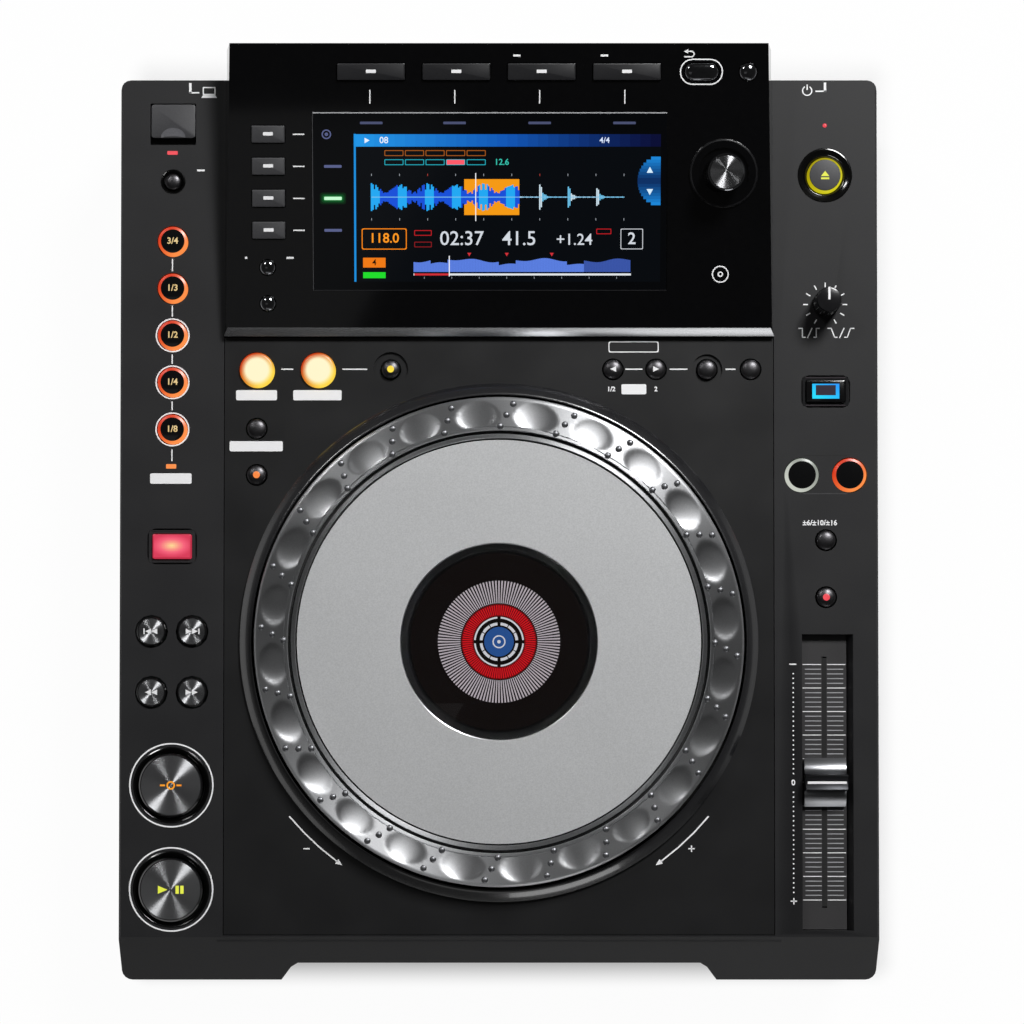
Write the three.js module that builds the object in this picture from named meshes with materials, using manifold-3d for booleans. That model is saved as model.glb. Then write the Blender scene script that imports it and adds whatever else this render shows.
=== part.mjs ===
// Tabletop disc player for DJs: a slot-loading deck with a dimpled jog wheel, a raised screen housing,
// button columns on both sides and a tempo slider.
// Millimetres, +Z up, +X to the player's right, +Y to the rear. The origin lies under the middle of the
// whole outline, on the plane of the feet.
import * as THREE from 'three';
import { mergeVertices } from 'three/addons/utils/BufferGeometryUtils.js';
import Module from 'manifold-3d';

const wasm = await Module();
wasm.setup();

// General fits and walls
const fit = 0.3;
const overrun = 2;
const weldDistance = 1e-4;
const wall = 2.5;
const quarterTurn = Math.PI / 2;
const fullTurn = 2 * Math.PI;

// Case in plan
const jogRimRadius = 104.15;
const jogSideMargin = 6.25;
const jogFrontMargin = 13.05;
const jogRearMargin = 18.45;
const sideStripWidth = 42.1;
const panelFrontLand = 1;
const housingFootLength = 104;
const housingOverhang = 10.7;
const lipRun = 18.25;
const lipOverhang = 14;
const caseCornerRadius = 4;
const caseEdgeBevel = 0.8;

// Case in height
const footHeight = 6;
const chassisHeight = 18;
const deckHeight = 74;
const lipDrop = 16;
const lipEdgeHeight = 4;
const housingFrontRise = 5.5;
const housingRearRise = 21;
const housingBevelRun = 3;

// Notch in the front lip
const notchWidth = 162.4;
const notchDepth = 7.3;
const notchShoulder = 7;

// Places worked out from the case
const panelWidth = 2 * (jogRimRadius + jogSideMargin);
const panelLength = 2 * jogRimRadius + jogFrontMargin + jogRearMargin;
const caseWidth = panelWidth + 2 * sideStripWidth;
const deckLength = panelFrontLand + panelLength + fit + housingFootLength;
const totalDepth = lipRun + deckLength + housingOverhang;
const frontY = -totalDepth / 2;
const deckFrontY = frontY + lipRun;
const deckRearY = deckFrontY + deckLength;
const panelFrontY = deckFrontY + panelFrontLand;
const panelRearY = panelFrontY + panelLength;
const housingFrontY = panelRearY + fit;
const housingRearY = deckRearY + housingOverhang;
const jogY = panelFrontY + jogFrontMargin + jogRimRadius;
const frontFaceY = frontY + lipOverhang;
const chassisTopZ = footHeight + chassisHeight;
const caseBottomZ = chassisTopZ + fit;
const lipTopZ = deckHeight - lipDrop;
const lipBottomZ = lipTopZ - lipEdgeHeight;
const underWall = -(wall + fit);
const columnX = (panelWidth + caseWidth) / 4;

// Screen housing
const housingSideDraft = 0.157;
const housingUndercutRise = 7.7;
const housingTailGap = 1;
const faceFrontY = housingFrontY + housingBevelRun;
const faceFrontZ = deckHeight + housingFrontRise;
const faceRearZ = deckHeight + housingRearRise;
const faceTilt = Math.atan2(faceRearZ - faceFrontZ, housingRearY - faceFrontY);
const faceLength = Math.hypot(faceRearZ - faceFrontZ, housingRearY - faceFrontY);
const deckOpeningMargin = 9;
const deckOpeningFront = 6;

// Screen
const screenWidthShare = 0.64;
const screenWidth = screenWidthShare * panelWidth;
const screenLength = 70.3;
const screenLedge = 3;
const screenGlassThickness = 1.5;
const screenModuleThickness = 3;
const screenOffsetShare = -0.01676;
const screenX = screenOffsetShare * panelWidth;
const screenPlaceShare = 0.4455;

// Jog wheel
const jogRimRise = 5;
const jogRimSlope = 3.85;
const jogRimTopRadius = jogRimRadius - jogRimSlope;
const jogRimWall = 0.7;
const ringRunningGap = 1.25;
const ringOuterRadius = jogRimTopRadius - jogRimWall - ringRunningGap;
const ringBand = 14.05;
const ringInnerRadius = ringOuterRadius - ringBand;
const ringRise = 12;
const ringWall = 2.5;
const ringTopThickness = 3.5;
const ringEdgeRound = 1.4;
const ringSkirtDrop = 1.5;
const dimpleCount = 24;
const dimpleLengthShare = 0.6967;
const dimpleHalfWidth = 5.6;
const dimpleDepth = 1.7;
const dimpleInset = 6.15;
const dimpleCircleRadius = ringInnerRadius + dimpleInset;
const dimpleStartTurnShare = 0.0156;
const bumpRadius = 1.4;
const bumpHeight = 0.6;
const bumpRowStep = 4.5;
const bumpRowLeadShare = 0.103;
const bumpRows = [-1, 0, 1];
const plateRise = 10.2;
const plateEdgeGap = 1;
const plateEdgeRadius = ringInnerRadius - plateEdgeGap;
const trimRingWidth = 2.2;
const trimRingRise = 0.6;
const carrierThickness = 2;
const windowRadius = 38.9;
const windowThickness = 2;
const windowLedge = 2.7;
const sleeveOuterRadius = 47;
const sleeveWall = 3;
const sleeveDrop = 12;
const tubMargin = 1.85;
const tubRadius = jogRimRadius + tubMargin;
const tubWall = 2.5;
const tubDepth = 17;
const tubFloor = 2;
const hubRise = 4;
const centreDisplayRadius = 35.5;
const centreDisplayRise = 3;

// Buttons and knobs: rise is the height over the surface, reach the depth below it
const edgeRound = 0.5;
const flangeWidth = 0.8;
const boardDepth = 12.4;
const boardThickness = 1.6;
const faceReach = 7;
const recessDepth = 1.2;
const smallTravel = 0.6;
const largeTravel = 1.2;
const stemShare = 0.6;
const smallButton = { radius: 4.03, rise: 1.6, crown: 0.2, travel: smallTravel, sides: 10 };
const ringedButton = { radius: 4.03, rise: 1.6, crown: 0.2, travel: smallTravel, sides: 10, recess: 6.05 };
const modeButton = { radius: 3.2, rise: 1.6, crown: 0.2, travel: smallTravel, sides: 10 };
const tagButton = { radius: 3.6, rise: 1.6, crown: 0.2, travel: smallTravel, sides: 10 };
const stopButton = { radius: 3.25, rise: 1.2, crown: 0.4, travel: smallTravel, sides: 10, recess: 4.95 };
const reloopButton = { radius: 3.8, rise: 1.6, crown: 0.2, travel: smallTravel, sides: 10, recess: 6.9 };
const beatButton = { radius: 5.9, rise: 1.5, crown: 0.2, travel: smallTravel, sides: 12 };
const loopButton = { radius: 6.93, rise: 2, crown: 0.3, travel: smallTravel, sides: 12 };
const syncButton = { radius: 6.7, rise: 1.5, crown: 0.2, travel: smallTravel, sides: 12 };
const seekButton = { radius: 6.05, rise: 1.6, crown: 0.3, travel: smallTravel, sides: 12, recess: 6.65 };
const ejectButton = { radius: 7.05, rise: 1.2, crown: -0.3, travel: smallTravel, sides: 16, recess: 10.95 };
const transportButton = { radius: 12.8, rise: 3, crown: 0.3, travel: largeTravel, sides: 20, recess: 15.3 };
const functionPitchShare = 0.15367;
const functionPitch = functionPitchShare * panelWidth;
const functionKeyShare = 0.7958;
const functionKeyWidth = functionKeyShare * functionPitch;
const functionKey = {
  width: functionKeyWidth, length: 6.65, rise: 1.4, corner: 0.6, travel: smallTravel, steps: 1,
};
const sourceKey = { width: 13.2, length: 6.85, rise: 1.4, corner: 0.6, travel: smallTravel, steps: 1 };
const backKey = { width: 13.4, length: 6.9, rise: 1.4, corner: 3.4, travel: smallTravel, steps: 3 };
const directionKey = {
  width: 15.4, length: 9.8, rise: 1.3, corner: 0.8, travel: smallTravel, steps: 1, recess: 2.3,
};
const jogModeKey = {
  width: 15.6, length: 8.9, rise: 1.3, corner: 0.8, travel: smallTravel, steps: 1, recess: 2.1,
};

// Places on the two side strips, as shares of the deck's length from its front edge
const playPlaceShare = 0.0553;
const cuePlaceShare = 0.1762;
const searchPlaceShare = 0.2842;
const trackPlaceShare = 0.3551;
const directionPlaceShare = 0.4542;
const beatPlaceShare = 0.5908;
const beatPitchShare = 0.055;
const beatCount = 5;
const stopPlaceShare = 0.8809;
const pocketPlaceShare = 0.9484;
const masterTempoPlaceShare = 0.3949;
const tempoRangePlaceShare = 0.4613;
const syncPlaceShare = 0.5375;
const jogModePlaceShare = 0.6351;
const speedPlaceShare = 0.7369;
const ejectPlaceShare = 0.8884;
const faderPlaceShare = 0.1796;
const seekHalfPitch = 8.15;
const syncHalfPitch = 9.6;

// Places on the centre panel, as shares of its half width and of its length
const loopInPlaceShare = [-0.882, 0.9456];
const loopOutPlaceShare = [-0.659, 0.9456];
const reloopPlaceShare = [-0.395, 0.947];
const beatLoopPlaceShare = [-0.883, 0.8472];
const slipPlaceShare = [-0.883, 0.7694];
const callLeftPlaceShare = [0.4158, 0.947];
const callRightPlaceShare = [0.5725, 0.947];
const deletePlaceShare = [0.759, 0.947];
const memoryPlaceShare = [0.9176, 0.947];

// Places on the sloping face, as shares of its length from the front and of the panel's half width
const functionRowShare = 0.8997;
const sourceRowShare = 0.3452;
const timeModeRowShare = 0.2143;
const quantizeRowShare = 0.0868;
const selectorRowShare = 0.5456;
const functionCount = 4;
const sourceCount = 4;
const sourcePitch = 12.66;
const sourceColumnShare = -0.8333;
const modeColumnShare = -0.8388;
const backColumnShare = 0.73;
const tagColumnShare = 0.8976;
const selectorColumnShare = 0.812;

// Rotary selector
const selectorShaftRadius = 3;
const selectorKnobRadius = 7.3;
const selectorKnobTopRadius = 6.8;
const selectorKnobHeight = 16;
const selectorKnobStandoff = 1.6;
const selectorKnobRoof = 3;
const selectorRunningGap = 0.4;
const selectorShaftReach = 9;
const collarInnerRadius = 10.15;
const collarOuterRadius = 13.6;
const collarRise = 1.2;

// Speed knob
const speedKnobRadius = 5.45;
const speedKnobTopRadius = 5.2;
const speedKnobHeight = 16;
const speedKnobStandoff = 0.8;
const speedShaftRadius = 3;
const speedRunningGap = 0.4;

// Tempo slider
const wellLength = 118.85;
const wellFloorWidth = 18.45;
const wellSlope = 2.1;
const wellDepth = 4;
const wellSkirt = 3;
const wellSkirtWall = 1.6;
const faderPlateThickness = 1.5;
const faderSlotWidth = 2;
const faderTravel = 47.35;
const faderSlotEndGap = 0.65;
const faderBodyWidth = 10;
const faderBodyLength = 108;
const faderBodyDepth = 12;
const faderOffset = 0.5;
const sliderWidth = 16.8;
const sliderLength = 19.6;
const sliderGap = 0.8;
const sliderEndHeight = 3.4;
const sliderRidgeHeight = 12;
const sliderRidgeHalf = 3.2;
const sliderRidgeDraft = 0.4;
const sliderShoulderHeight = 5;
const leverWidth = 1.2;
const leverLength = 5;
const leverReach = 8;

// USB door and its pocket
const pocketWidth = 18.4;
const pocketLength = 16.8;
const pocketDepth = 4.6;
const pocketWall = 1.8;
const pocketBlockDepth = 16;
const doorLength = 12.3;
const doorThickness = 1.5;
const doorSink = 0.3;
const doorBarrelRadius = 1.3;
const doorScoopRadius = 7.2;
const doorScoopDepth = 1;
const usbPortWidth = 12.6;
const usbPortLength = 5.2;
const usbPortDepth = 9.5;

// Disc slot and drive
const slotCentreZ = 42;
const slotWidth = 128;
const slotHeight = 6;
const driveWidth = 148;
const driveLength = 150;
const driveHeight = 24;
const driveFaceGap = 0.3;
const bayWidth = 126;
const bayLength = 136;
const driveStepHeight = 6;
const driveStepShare = 0.62;
const drivePostRadius = 4;
const drivePostInset = 8;
const driveEarWidth = 9;
const driveEarThickness = 2;

// Chassis
const chassisSheet = 2;
const chassisInset = 1.2;
const footRadius = 13;
const footInsetX = 26;
const footInsetY = 30;
const footTaper = 1;
const ventCount = 7;
const ventLength = 46;
const ventWidth = 3;
const ventPitch = 8;
const standoffRadius = 4;
const standoffGap = 0.5;

// Rear connectors, with places as shares of the case's half width
const rearOpeningMargin = 14.5;
const rearOpeningWidth = caseWidth - 2 * rearOpeningMargin;
const rearOpeningHeight = 34;
const rearOpeningZ = 46;
const rearPlateThickness = 1.5;
const rearPlateOverlap = 3;
const connectorZ = 46;
const computerPortShare = -0.7934;
const networkPortShare = -0.6295;
const controlJackShare = -0.5049;
const digitalJackShare = -0.3738;
const audioRightShare = -0.2492;
const audioLeftShare = -0.1443;
const mainsShare = 0.5639;
const powerShare = 0.7934;
const computerPortX = computerPortShare * caseWidth / 2;
const networkPortX = networkPortShare * caseWidth / 2;
const controlJackX = controlJackShare * caseWidth / 2;
const digitalJackX = digitalJackShare * caseWidth / 2;
const audioRightX = audioRightShare * caseWidth / 2;
const audioLeftX = audioLeftShare * caseWidth / 2;
const mainsX = mainsShare * caseWidth / 2;
const powerX = powerShare * caseWidth / 2;
const computerPortSize = 9;
const computerPortDepth = 10;
const networkPortWidth = 12;
const networkPortHeight = 9;
const networkPortDepth = 12;
const portShell = 1.6;
const phonoRadius = 4.15;
const phonoBore = 1.7;
const phonoLength = 8;
const phonoDepth = 7;
const phonoCollarRadius = 5.2;
const phonoCollarLength = 1.2;
const controlBore = 1.8;
const controlCollarRadius = 3.8;
const controlCollarLength = 1;
const controlDepth = 6;
const mainsWidth = 30;
const mainsHeight = 22;
const mainsFlange = 1.5;
const mainsMouthWidth = 24.4;
const mainsMouthHeight = 16.6;
const mainsMouthDepth = 16;
const mainsBodyWall = 1.4;
const mainsCornerCut = 4.5;
const mainsBladeLength = 10;
const mainsBladeWidth = 2;
const mainsBladeHeight = 4;
const mainsBladePitch = 7;
const mainsEarthRaise = 4;
const powerWidth = 13;
const powerHeight = 9;
const powerTravel = 2.5;
const powerProud = 1.5;
const powerFlange = 1;
const powerReach = 6;

// Control board
const boardInset = 1.5;
const boardFrontInset = 4;
const boardRearY = 147;
const boardTubGap = 1.5;
const boardFaderGap = 4;
const bossRadius = 3;
const bossInset = 7;
const bossSides = 6;
const leftBossShares = [0.524, 0.837];
const rightBossShares = [0.5855, 0.837];

// Facet counts
const ringSides = 48;
const plateSides = 36;
const hubSides = 24;
const rimSides = 36;
const cornerSteps = 2;
const dimpleSides = 10;
const dimpleBands = 4;
const bumpSides = 4;
const postSides = 10;

/** Closed solid from a closed geometry. */
function solidOf(geometry) {
  const bare = geometry.clone();
  bare.deleteAttribute('normal');
  bare.deleteAttribute('uv');
  const merged = mergeVertices(bare, weldDistance);
  const corners = merged.index.array;
  const kept = [];
  for (let i = 0; i < corners.length; i += 3) {
    const [a, b, c] = [corners[i], corners[i + 1], corners[i + 2]];
    if (a !== b && b !== c && c !== a) kept.push(a, b, c);
  }
  return new wasm.Manifold(new wasm.Mesh({
    numProp: 3,
    vertProperties: new Float32Array(merged.attributes.position.array),
    triVerts: new Uint32Array(kept),
  }));
}

/** Drawable geometry from a solid. */
function geometryOf(solid) {
  const mesh = solid.getMesh();
  const geometry = new THREE.BufferGeometry();
  geometry.setAttribute('position', new THREE.BufferAttribute(new Float32Array(mesh.vertProperties), 3));
  geometry.setIndex(new THREE.BufferAttribute(new Uint32Array(mesh.triVerts), 1));
  geometry.computeVertexNormals();
  return geometry;
}

/** The first solid joined with the rest. */
function joined(...solids) {
  return solids.reduce((whole, next) => whole.add(next));
}

/** A solid with the tools taken away. */
function cut(solid, ...tools) {
  return tools.reduce((rest, tool) => rest.subtract(tool), solid);
}

/** A translation as a matrix. */
function at(x, y, z) {
  return new THREE.Matrix4().makeTranslation(x, y, z);
}

/** Solid of revolution about +Z from [radius, height] points that run from the top down. */
function turned(profile, sides, place = at(0, 0, 0)) {
  const points = profile.map(([radius, height]) => new THREE.Vector2(radius, height));
  const [first, last] = [points[0], points[points.length - 1]];
  if (first.x > 0 || last.x > 0) points.push(first.clone());
  const geometry = new THREE.LatheGeometry(points.reverse(), sides);
  geometry.rotateX(quarterTurn);
  return solidOf(geometry.applyMatrix4(place));
}

/** Flat shape from [u, v] points. */
function outline(points) {
  return new THREE.Shape(points.map(([u, v]) => new THREE.Vector2(u, v)));
}

/** Rectangle with round corners, centred on its origin. */
function roundedRectangle(width, length, radius) {
  const [x, y] = [width / 2, length / 2];
  const shape = new THREE.Shape();
  shape.moveTo(-x + radius, -y);
  shape.lineTo(x - radius, -y);
  shape.absarc(x - radius, -y + radius, radius, -quarterTurn, 0);
  shape.lineTo(x, y - radius);
  shape.absarc(x - radius, y - radius, radius, 0, quarterTurn);
  shape.lineTo(-x + radius, y);
  shape.absarc(-x + radius, y - radius, radius, quarterTurn, 2 * quarterTurn);
  shape.lineTo(-x, -y + radius);
  shape.absarc(-x + radius, -y + radius, radius, 2 * quarterTurn, 3 * quarterTurn);
  return shape;
}

/** Shape pushed along +Z from one height to another. */
function risen(shape, low, high, place = at(0, 0, 0), steps = cornerSteps) {
  const options = { depth: high - low, bevelEnabled: false, curveSegments: steps };
  const geometry = new THREE.ExtrudeGeometry(shape, options);
  geometry.translate(0, 0, low);
  return solidOf(geometry.applyMatrix4(place));
}

/** Side profile of [y, z] points pushed along X. */
function acrossX(points, left, right) {
  const turn = new THREE.Matrix4().makeBasis(
    new THREE.Vector3(0, 1, 0), new THREE.Vector3(0, 0, 1), new THREE.Vector3(1, 0, 0));
  return risen(outline(points), left, right, turn);
}

/** Front profile of [x, z] points pushed along Y. */
function alongY(points, front, rear) {
  const turn = new THREE.Matrix4().makeBasis(
    new THREE.Vector3(1, 0, 0), new THREE.Vector3(0, 0, 1), new THREE.Vector3(0, -1, 0));
  return risen(outline(points), -rear, -front, turn);
}

/** Box between two corners. */
function block([x0, y0, z0], [x1, y1, z1], place = at(0, 0, 0)) {
  const geometry = new THREE.BoxGeometry(x1 - x0, y1 - y0, z1 - z0);
  geometry.translate((x0 + x1) / 2, (y0 + y1) / 2, (z0 + z1) / 2);
  return solidOf(geometry.applyMatrix4(place));
}

/** Finish of a piece. */
function finish(color, roughness, metalness = 0) {
  return new THREE.MeshStandardMaterial({ color, roughness, metalness });
}

/** Named mesh of one piece. */
function piece(name, solid, material, place = at(0, 0, 0)) {
  const mesh = new THREE.Mesh(geometryOf(solid), material);
  mesh.name = name;
  mesh.applyMatrix4(place);
  return mesh;
}

// Places of the controls
const deckAt = (x, share) => at(x, deckFrontY + share * deckLength, deckHeight);
const panelAt = ([across, along]) => at(
  across * panelWidth / 2, panelFrontY + along * panelLength, deckHeight);
const faceFrame = new THREE.Matrix4().makeRotationX(faceTilt).setPosition(0, faceFrontY, faceFrontZ);
const onFace = (x, share) => faceFrame.clone().multiply(at(x, share * faceLength, 0));
const faceColumn = (share) => share * panelWidth / 2;

/** Round button in its own frame, the deck's surface at height zero. */
function roundButton({ radius, rise, crown, travel, sides }, depth) {
  const reach = depth - travel - fit;
  return turned([
    [0, rise + crown],
    [radius - edgeRound, rise],
    [radius, rise - edgeRound],
    [radius, underWall],
    [radius + flangeWidth, underWall],
    [radius * stemShare, -reach],
    [0, -reach],
  ], sides);
}

/** Hole for a round button, with the shallow recess round it where it has one. */
function roundHole({ radius, sides, recess }, place) {
  const below = -wall - overrun;
  const profile = recess
    ? [[0, overrun], [recess, overrun], [recess, -recessDepth], [radius + fit, -recessDepth]]
    : [[0, overrun], [radius + fit, overrun]];
  return turned([...profile, [radius + fit, below], [0, below]], sides, place);
}

/** Flat-topped key in its own frame, with a flange under the wall and a foot. */
function keyButton({ width, length, rise, corner, travel, steps }, depth) {
  const reach = depth - travel - fit;
  const body = risen(roundedRectangle(width, length, corner), underWall, rise, at(0, 0, 0), steps);
  const flange = block(
    [-width / 2, -length / 2 - flangeWidth, underWall - flangeWidth],
    [width / 2, length / 2 + flangeWidth, underWall]);
  const foot = block(
    [-width * stemShare / 2, -length * stemShare / 2, -reach],
    [width * stemShare / 2, length * stemShare / 2, underWall - flangeWidth]);
  return joined(body, flange, foot);
}

/** Hole for a key, with its recess where it has one. */
function keyHole({ width, length, corner, recess, steps }, place) {
  const shape = roundedRectangle(width + 2 * fit, length + 2 * fit, corner + fit);
  const through = risen(shape, -wall - overrun, overrun, place, steps);
  if (!recess) return through;
  const wide = roundedRectangle(width + 2 * recess, length + 2 * recess, corner + recess);
  return joined(through, risen(wide, -recessDepth, overrun, place, steps));
}

// Table of the controls: name, size, place, material
const blackKey = () => finish('#3a3b3d', 0.45);
const blackCap = () => finish('#232427', 0.3);
const darkMetal = () => finish('#3c3d40', 0.25, 0.7);
const warmLight = () => finish('#ffe9a8', 0.5);
const redLight = () => finish('#e8483a', 0.5);

const deckControls = [
  ['usb_stop_button', stopButton, deckAt(-columnX, stopPlaceShare), blackKey()],
  ['direction_button', directionKey, deckAt(-columnX, directionPlaceShare), redLight()],
  ['track_back_button', seekButton, deckAt(-columnX - seekHalfPitch, trackPlaceShare), darkMetal()],
  ['track_forward_button', seekButton, deckAt(-columnX + seekHalfPitch, trackPlaceShare), darkMetal()],
  ['search_back_button', seekButton, deckAt(-columnX - seekHalfPitch, searchPlaceShare), darkMetal()],
  ['search_forward_button', seekButton, deckAt(-columnX + seekHalfPitch, searchPlaceShare), darkMetal()],
  ['cue_button', transportButton, deckAt(-columnX, cuePlaceShare), darkMetal()],
  ['play_button', transportButton, deckAt(-columnX, playPlaceShare), darkMetal()],
  ['eject_button', ejectButton, deckAt(columnX, ejectPlaceShare), finish('#b9b62a', 0.4)],
  ['jog_mode_button', jogModeKey, deckAt(columnX, jogModePlaceShare), finish('#2aa7e0', 0.4)],
  ['sync_button', syncButton, deckAt(columnX - syncHalfPitch, syncPlaceShare), blackCap()],
  ['master_button', syncButton, deckAt(columnX + syncHalfPitch, syncPlaceShare), blackCap()],
  ['tempo_range_button', smallButton, deckAt(columnX, tempoRangePlaceShare), blackCap()],
  ['master_tempo_button', smallButton, deckAt(columnX, masterTempoPlaceShare), blackCap()],
];
for (let i = 0; i < beatCount; i += 1) {
  const share = beatPlaceShare + i * beatPitchShare;
  deckControls.push([`beat_button_${i + 1}`, beatButton, deckAt(-columnX, share), blackCap()]);
}

const panelControls = [
  ['loop_in_button', loopButton, panelAt(loopInPlaceShare), warmLight()],
  ['loop_out_button', loopButton, panelAt(loopOutPlaceShare), warmLight()],
  ['reloop_button', reloopButton, panelAt(reloopPlaceShare), blackCap()],
  ['beat_loop_button', smallButton, panelAt(beatLoopPlaceShare), blackCap()],
  ['slip_button', smallButton, panelAt(slipPlaceShare), blackCap()],
  ['call_left_button', smallButton, panelAt(callLeftPlaceShare), blackCap()],
  ['call_right_button', smallButton, panelAt(callRightPlaceShare), blackCap()],
  ['delete_button', ringedButton, panelAt(deletePlaceShare), blackCap()],
  ['memory_button', smallButton, panelAt(memoryPlaceShare), blackCap()],
];

const faceControls = [
  ['back_button', backKey, onFace(faceColumn(backColumnShare), functionRowShare), blackKey()],
  ['tag_button', tagButton, onFace(faceColumn(tagColumnShare), functionRowShare), blackCap()],
  ['time_mode_button', modeButton, onFace(faceColumn(modeColumnShare), timeModeRowShare), blackCap()],
  ['quantize_button', modeButton, onFace(faceColumn(modeColumnShare), quantizeRowShare), blackCap()],
];
for (let i = 0; i < functionCount; i += 1) {
  const x = (i - (functionCount - 1) / 2) * functionPitch;
  faceControls.push([`function_button_${i + 1}`, functionKey, onFace(x, functionRowShare), blackKey()]);
}
for (let i = 0; i < sourceCount; i += 1) {
  const fromFront = (sourceCount - 1 - i) * sourcePitch;
  const place = onFace(faceColumn(sourceColumnShare), sourceRowShare).multiply(at(0, fromFront, 0));
  faceControls.push([`source_button_${i + 1}`, sourceKey, place, blackKey()]);
}

const isKey = (size) => size.width !== undefined;
const holesFor = (controls) => controls.map(([, size, place]) => (
  isKey(size) ? keyHole(size, place) : roundHole(size, place)));
const buttonsFor = (controls, depth) => controls.map(([name, size, place, material]) => (
  piece(name, isKey(size) ? keyButton(size, depth) : roundButton(size, depth), material, place)));

/** Plan of the case between the lip's edge and the rear wall. */
function casePlan(inset = 0) {
  const length = deckRearY - frontY - 2 * inset;
  return roundedRectangle(caseWidth - 2 * inset, length, caseCornerRadius);
}

/** Notch in the lip: straight floor with curved shoulders at both ends. */
function notch() {
  const half = notchWidth / 2;
  const [mouthY, floorY] = [frontY - overrun, frontY + notchDepth];
  const shape = new THREE.Shape();
  shape.moveTo(-half - notchShoulder, mouthY);
  shape.lineTo(half + notchShoulder, mouthY);
  shape.lineTo(half + notchShoulder, frontY);
  shape.quadraticCurveTo(half + notchShoulder / 3, floorY, half, floorY);
  shape.lineTo(-half, floorY);
  shape.quadraticCurveTo(-half - notchShoulder / 3, floorY, -half - notchShoulder, frontY);
  return risen(shape, lipBottomZ - overrun, deckHeight);
}

/** Slot that the disc enters through, cut in the front wall. */
function discSlot() {
  return block(
    [-slotWidth / 2, frontFaceY - overrun, slotCentreZ - slotHeight / 2],
    [slotWidth / 2, frontFaceY + wall + overrun, slotCentreZ + slotHeight / 2]);
}

/** Block under the left strip that holds the USB port's pocket. */
function usbBlock() {
  const [x, y] = [pocketWidth / 2 + pocketWall, pocketLength / 2 + pocketWall];
  return block([-x, -y, -pocketBlockDepth], [x, y, -wall / 2], deckAt(-columnX, pocketPlaceShare));
}

/** Pocket under the USB door, with the port in its floor. */
function usbPocket() {
  const place = deckAt(-columnX, pocketPlaceShare);
  const pocket = risen(roundedRectangle(pocketWidth, pocketLength, edgeRound), -pocketDepth, overrun, place);
  const port = block(
    [-usbPortWidth / 2, -usbPortLength / 2, -pocketDepth - usbPortDepth],
    [usbPortWidth / 2, usbPortLength / 2, -pocketDepth + overrun], place);
  return joined(pocket, port);
}

/** Frame under the deck that carries the centre panel's edge. */
function panelLedge() {
  const [top, bottom] = [deckHeight + underWall, deckHeight + underWall - wall];
  const [half, ledge] = [panelWidth / 2 + fit, jogSideMargin - wall];
  const [front, rear] = [panelFrontY - fit, panelRearY + fit];
  const frame = block(
    [-half - wall, front - wall, bottom], [half + wall, rear + wall, deckHeight - wall / 2]);
  const window = block(
    [-half + ledge, front + ledge, bottom - overrun], [half - ledge, rear - ledge, deckHeight + overrun]);
  const seat = block([-half, front, top], [half, rear, deckHeight + overrun]);
  return { frame, window, seat };
}

/** Tempo slider's well: straight on the left, sloping on the right. */
function sliderWell(grow, depth) {
  const left = columnX - faderOffset - wellFloorWidth / 2 - grow;
  const right = columnX - faderOffset + wellFloorWidth / 2 + grow;
  const middle = deckFrontY + faderPlaceShare * deckLength;
  const top = deckHeight + (grow > 0 ? -wall / 2 : 0);
  return alongY([
    [left, deckHeight - depth],
    [right, deckHeight - depth],
    [right, deckHeight - wellDepth],
    [right + wellSlope, top],
    [left, top],
  ], middle - wellLength / 2 - grow, middle + wellLength / 2 + grow);
}

/** Clears the skin of the deck over the slider's well. */
function topOfWell() {
  const left = columnX - faderOffset - wellFloorWidth / 2;
  const right = columnX - faderOffset + wellFloorWidth / 2 + wellSlope;
  const middle = deckFrontY + faderPlaceShare * deckLength;
  return block([left, middle - wellLength / 2, deckHeight - fit / 2],
    [right, middle + wellLength / 2, deckHeight + overrun]);
}

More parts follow.
